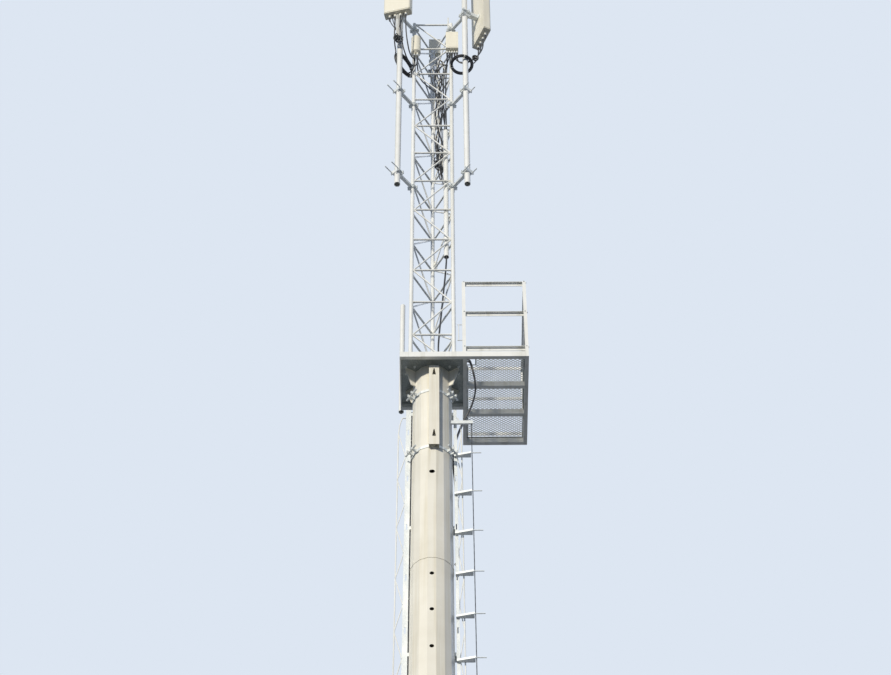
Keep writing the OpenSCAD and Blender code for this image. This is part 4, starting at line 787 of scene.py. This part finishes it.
darkDrops = dropTubes(dropCables["dark"], 0, 1, dropCables)
darkDrops.append(band(dropCables["knot"], lift(dropCables["tie"]), (0, 0, 1), 16))
for name in ("antenna", "coilRight", "mastLow", "mastHigh"):
    darkDrops += skein(skeins[name], skeinForm)
paleDrops = dropTubes(dropCables["pale"], 3, dropCables["paleShare"], dropCables)
for name in ("paleLeg", "paleFoot"):
    paleDrops += skein(skeins[name], skeinForm)
addPiece("darkDropCables", joined(darkDrops), blackSheath)
addPiece("paleDropCables", joined(paleDrops), greySheath)

# Cables between the left tray and the pole; their ties go from so far to so far below the top, so far apart
ladderCable = {
    "x": .007, "y": (-.008, .006), "diameter": .0105, "sides": 8, "points": 12, "top": -.47, "low": -17.3,
    "closeTies": (.05, .7, .05), "wideTies": (.9, 16.83, .25),
    "tieX": .0045, "tieY": -.001, "tieHalf": (.0016, .017, .0045), "tieChamfer": .0005,
}


# Cables along the pole's slope
def makeLadderCables(k):
    s = np.linspace(k["top"], k["low"], k["points"])
    return joined([tube(besidePole(-1, k["x"], y, s), k["diameter"] / 2, k["sides"]) for y in k["y"]])


# Ties across the cables, at equal steps down the two stretches
def makeLadderTies(k):
    s = np.concatenate([k["top"] - np.arange(*k[stretch]) for stretch in ("closeTies", "wideTies")])
    return flatBars(besidePole(-1, k["x"] + k["tieX"], k["tieY"], s), k["tieHalf"], k["tieChamfer"])


addPiece("ladderCables", makeLadderCables(ladderCable), blackSheath)
addPiece("ladderTies", makeLadderTies(ladderCable), greySheath)

coilTie = {"over": .0095, "half": .0065, "edge": (.0022, .0015)}


# Ties of a coil at angles w: middle c + R(cos w A + sin w U), axis along the turns
def coilTies(k, tie):
    outwards, along = coilRim(k, np.radians(k["tiesDeg"]))
    sizes = {**tie, "radius": k["bundle"] + tie["over"]}
    return band(sizes, lift(k["middle"]) + k["radius"] * outwards, along, 18)


addPiece("coilTies", joined([coilTies(coil, coilTie) for coil in coils.values()]), greySheath)


# Ties of the feeders: level rings at equal steps down the path midway between the two
def feederTies(k, middle):
    up = middle[middle[:, 2] < k["tieBelow"]][::-1]
    heights = k["tieTop"] - k["tiePitch"] * np.arange(k["tieCount"])
    places = np.stack([np.interp(heights, up[:, 2], up[:, axis]) for axis in range(3)], 1)
    return band(k["tie"], places, (0, 0, 1), 14)


addPiece("feederTies", feederTies(feeder, (feederA + feederB) / 2), blackSheath)
print("cables made")

# Clamps of the sector pipes, the rear pipe and, from their lower ends, the antennas
clamps = {
    "sector": (22.9, 24.4, 25.9), "rear": (25.32, 25.8), "onAntenna": (.4, 1.2),
    "jaw": .005, "boltOut": .012, "nut": .0095, "stub": .25,
}


# A clamp's nuts: places m +- reach d +- off n, d being the level direction at the turn, and axes away from the
# tube along d
def clampNuts(middle, turn, diameter, k):
    d, n = np.array([cos(turn), sin(turn), 0]), np.array([-sin(turn), cos(turn), 0])
    reach, off = diameter / 2 + tower["seat"] + k["jaw"], diameter / 2 + k["boltOut"]
    signs = np.array([(1, 1), (1, -1), (-1, 1), (-1, -1)])
    return np.array(middle) + signs[:, :1] * reach * d + signs[:, 1:] * off * n, signs[:, :1] * d


# All clamps, each arm's on its leg and on its pipe
def gatherClamps(k):
    pipeX, pipeY, pipeD, legD = tower["pipeX"], tower["pipeY"], tower["pipeD"], tower["legD"]
    tubes = ((tower["legX"], tower["legY"], legD), (pipeX, pipeY, pipeD))
    found = [clampNuts((side * x, -y, z), armTurn if side > 0 else pi - armTurn, diameter, k)
             for side in (-1, 1) for z in k["sector"] for x, y, diameter in tubes]
    found += [clampNuts((0, y, z), pi / 2, diameter, k)
              for z in k["rear"] for y, diameter in ((tower["legRear"], legD), (tower["pipeRear"], pipeD))]
    found += [clampNuts((e["side"] * pipeX, -pipeY, e["low"] + up), radians(e["turn"] - 90), pipeD, k)
              for e in (antenna["left"], antenna["right"]) for up in k["onAntenna"]]
    return [np.concatenate(rows) for rows in zip(*found)]


clampParts = hexFasteners(*gatherClamps(clamps), clamps["nut"], clamps["stub"])
addPiece("clampNuts", clampParts, brightZinc)


# Level directions at angles in degrees: outwards (cos w, sin w) and across (-sin w, cos w)
def spokes(degrees):
    w = np.radians(degrees)
    return np.stack([np.cos(w), np.sin(w), 0 * w], 1), np.stack([-np.sin(w), np.cos(w), 0 * w], 1)


ears = {"turns": (-147, -33, 90), "heights": (19.64, 18.87), "halves": (.1759, .1784), "out": .046,
        "face": .03, "size": .013, "stub": 1.6}


# Nuts on both faces of each ear: (half + out) d +- face n
def earNuts(k):
    places, axes = [], []
    for z, half in zip(k["heights"], k["halves"]):
        for d, n in zip(*spokes(k["turns"])):
            for side in (-1, 1):
                places.append(d * (half + k["out"]) + side * n * k["face"] + (0, 0, z))
                axes.append(side * n)
    return hexFasteners(places, axes, k["size"], k["stub"])


addPiece("earNuts", earNuts(ears), brightZinc)

footBolts = {
    "spots": [(.24, -.155), (.24, -.075), (.16, -.155), (-.24, -.155), (-.24, -.075), (-.16, -.155),
              (.04, .27), (-.04, .27), (.04, .19), (-.04, .19)],
    "top": 20.032, "size": .011, "stubAbove": .5, "stubBelow": .7,
}


# Bolts of the mast's feet: the same spots above the feet and under the head plate
def footNuts(k):
    spots = np.array(k["spots"])
    sides = ((k["top"], 1, k["stubAbove"]), (headZ, -1, k["stubBelow"]))
    return joined([hexFasteners(np.column_stack([spots, np.full(len(spots), z)]), (0, 0, way), k["size"], stub)
                   for z, way, stub in sides])


addPiece("footBolts", footNuts(footBolts), brightZinc)

rails = {"levels": (.1, .615, 1.07), "drop": .02, "front": -.317, "rear": .75, "left": .296, "right": .862,
         "sideX": .88, "sideY": (-.3, .733), "size": .0075, "stub": .1}


# Bolts of the guardrails, level by level: front and rear at both ends, then the side
def railBolts(k):
    places, axes = [], []
    for z in deckZ + np.array(k["levels"]) - k["drop"]:
        for x in (k["left"], k["right"]):
            places += [(x, k["front"], z), (x, k["rear"], z)]
            axes += [(0, -1, 0), (0, 1, 0)]
        for y in k["sideY"]:
            places.append((k["sideX"], y, z))
            axes.append((1, 0, 0))
    return hexFasteners(places, axes, k["size"], k["stub"])


addPiece("railBolts", railBolts(rails), brightZinc)

# Connectors: a threaded collar with a black boot over each cable's start
connectorPlaces = {
    "antennaLeft": [
        (-.4647, -.388, 25.74), (-.4065, -.4025, 25.74), (-.3483, -.417, 25.74), (-.29, -.4316, 25.74)],
    "antennaRight": [
        (.5722, -.2957, 25.53), (.5468, -.2413, 25.53), (.5214, -.187, 25.53), (.4961, -.1326, 25.53)],
    "radio": [
        (.1564, -.1988, 25.32), (.1832, -.1988, 25.32), (.21, -.1988, 25.32), (.2368, -.1988, 25.32),
        (.2636, -.1988, 25.32)],
    "surge": [(-.196, -.2138, 25.25), (-.164, -.2138, 25.25), (-.196, -.1818, 25.25), (-.164, -.1818, 25.25)],
    "rear": [(-.0233, .2866, 26.01), (.02, .2866, 26.01), (.0633, .2866, 26.01)],
}
connectorRows = {
    "collar": [(.0085, -.006), (.0125, -.002), (.0125, .01), (.0105, .012), (.0105, .016), (.0085, .018)],
    "boot": [(.0078, .014), (.0098, .018), (.01, .05), (.0088, .054), (.0088, .058), (.0094, .06),
             (.008, .078), (.0072, .08)],
}
cableEnds = np.concatenate(list(connectorPlaces.values()))
addPiece("connectorCollars", turned(connectorRows["collar"], cableEnds, (0, 0, -1)), brightZinc)
addPiece("connectorBoots", turned(connectorRows["boot"], cableEnds, (0, 0, -1)), blackSheath)
print("fasteners and connectors made")

# Weld beads where stiffeners and gussets meet the pole and the plates
welds = {
    "size": .007,
    "base": {"turns": np.arange(16) * 22.5, "half": .0062, "inner": .2375, "outer": .378, "level": .04,
             "low": .04, "high": .225},
    "head": {"turns": (-30, 30, 90, 150, 210), "half": .0052, "inner": tower["halfTop"], "outer": .278,
             "level": headZ, "low": 19.802, "high": headZ},
}


# Beads on both faces of plates that stand out from the pole: level ones from inner to outer, then ones up it
def plateWelds(k, size):
    d, n = spokes(k["turns"])
    level = [(k["inner"], k["level"]), (k["outer"], k["level"])]
    onPole = [(poleHalf(z), z) for z in (k["low"], k["high"])]
    beads = []
    for ends in (level, onPole):
        for side in (-1, 1):
            a, b = (d * r + side * n * k["half"] + (0, 0, z) for r, z in ends)
            beads.append(weldedBars(a, b, size, sides=6))
    return joined(beads)


addPiece("baseWelds", plateWelds(welds["base"], welds["size"]), brightZinc)
addPiece("headWelds", plateWelds(welds["head"], welds["size"]), polePaint)

coverScrew = {"across": (-.105, -.035, .035, .105), "inset": .03,
              "head": [(.0063, -.0004), (.0063, .0006), (.00378, .0022), (.00126, .0026)]}


# Rows of screws on front and back at both ends, in the antenna's own frame, x across and y towards its back
def coverScrews(k):
    places, axes = [], []
    for e in (antenna["left"], antenna["right"]):
        spin, back = upright(e["turn"]), -tower["pipeD"] / 2 - e["gap"]
        foot = np.array([e["side"] * tower["pipeX"], -tower["pipeY"], e["low"]])
        for z in (k["inset"], antenna["height"] - k["inset"]):
            for y, way in ((back - antenna["depth"], -1), (back, 1)):
                places += [np.array([x, y, z]) @ spin + foot for x in k["across"]]
                axes += [np.array([0, way, 0]) @ spin for x in k["across"]]
    return turned(k["head"], places, axes, 10)


addPiece("coverScrews", coverScrews(coverScrew), brightZinc)

radio = {
    "x": .21, "half": .067, "front": -.2358, "low": 25.354, "high": 25.684,
    "inset": .012, "ahead": .0004, "proud": .0022, "chamfer": .0015, "screwInset": .0065,
    "head": [(.0042, -.0004), (.0042, .0008), (.0028, .0022)],
}


# Raised panel with broken edges and four screws in the corners of the box's front
def radioDoor(k):
    middle, tall = (k["low"] + k["high"]) / 2, (k["high"] - k["low"]) / 2
    door = flatBars((k["x"], k["front"] - k["ahead"], middle),
                    (k["half"] - k["inset"], k["proud"], tall - k["inset"]), k["chamfer"])
    x, z = k["half"] - k["screwInset"], tall - k["screwInset"]
    spots = [(k["x"] + sx * x, k["front"], middle + sz * z) for sx in (-1, 1) for sz in (-1, 1)]
    return joined([door, turned(k["head"], spots, (0, -1, 0), 10)])


addPiece("radioDoor", radioDoor(radio), radome)
print("welds and seams made")

stage = {"size": 160.0, "z": -0.002, "bounced": "#747573", "seen": "#E2E4E6"}
sky = {"light": "#A6BEE8", "strength": 0.36, "seen": "#DDE6F2"}


# Socket that is 1 for rays of any of the kinds named: the largest of their flags
def rayFlag(tree, kinds):
    path = addNode(tree, "ShaderNodeLightPath")
    flag = path, kinds[0]
    for kind in kinds[1:]:
        flag = addNode(tree, "ShaderNodeMath", {"operation": "MAXIMUM"}, _0=flag, _1=(path, kind)), "Value"
    return flag


# Floor: pale to the camera, to gloss and to glass, and dark to bounced light, so that undersides stay in shade
def makeStageMaterial(k):
    m, t = newMaterial("stageFloor")
    seen = rayFlag(t, ("Is Camera Ray", "Is Glossy Ray", "Is Transmission Ray"))
    dark = addNode(t, "ShaderNodeBsdfDiffuse", Color=colour(k["bounced"]))
    pale = addNode(t, "ShaderNodeBsdfDiffuse", Color=colour(k["seen"]))
    mix = addNode(t, "ShaderNodeMixShader", Fac=seen, _1=(dark, "BSDF"), _2=(pale, "BSDF"))
    addNode(t, "ShaderNodeOutputMaterial", Surface=(mix, "Shader"))
    return m


# Square just below the object
def addFloor(k):
    half, z = k["size"] / 2, k["z"]
    mesh = bpy.data.meshes.new("stage_floor")
    corners = [(-half, -half, z), (half, -half, z), (half, half, z), (-half, half, z)]
    mesh.from_pydata(corners, [], [(0, 1, 2, 3)])
    mesh.materials.append(makeStageMaterial(k))
    floor = bpy.data.objects.new("stage_floor", mesh)
    bpy.context.collection.objects.link(floor)


# World: pale behind the object and in gloss, and faintly blue as a light
def addWorld(k):
    world = bpy.data.worlds.new("studio")
    bpy.context.scene.world = world
    world.use_nodes = True
    t = world.node_tree
    t.nodes.clear()
    seen = rayFlag(t, ("Is Camera Ray", "Is Glossy Ray"))
    shade = addNode(t, "ShaderNodeBackground", Color=colour(k["light"]), Strength=k["strength"])
    back = addNode(t, "ShaderNodeBackground", Color=colour(k["seen"]), Strength=1.0)
    mix = addNode(t, "ShaderNodeMixShader", Fac=seen, _1=(shade, "Background"), _2=(back, "Background"))
    addNode(t, "ShaderNodeOutputWorld", Surface=(mix, "Shader"))


# A broad lamp far away, at an angle from straight ahead and a height above the horizon
def addSun(name, azimuth, height, strength, spread, tint):
    lamp = bpy.data.lights.new(name, "SUN")
    lamp.energy, lamp.angle, lamp.color = strength, radians(spread), colour(tint)[:3]
    holder = bpy.data.objects.new(name, lamp)
    holder.rotation_euler = (radians(90 - height), 0, radians(azimuth))
    bpy.context.collection.objects.link(holder)


addFloor(stage)
addWorld(sky)
addSun("key", azimuth=-24.0, height=24.0, strength=3.2, spread=5.0, tint="#FFF8EA")
addSun("rim", azimuth=128.0, height=25.0, strength=0.9, spread=40.0, tint="#DCE8FF")

bpy.context.scene.view_settings.view_transform = "Standard"
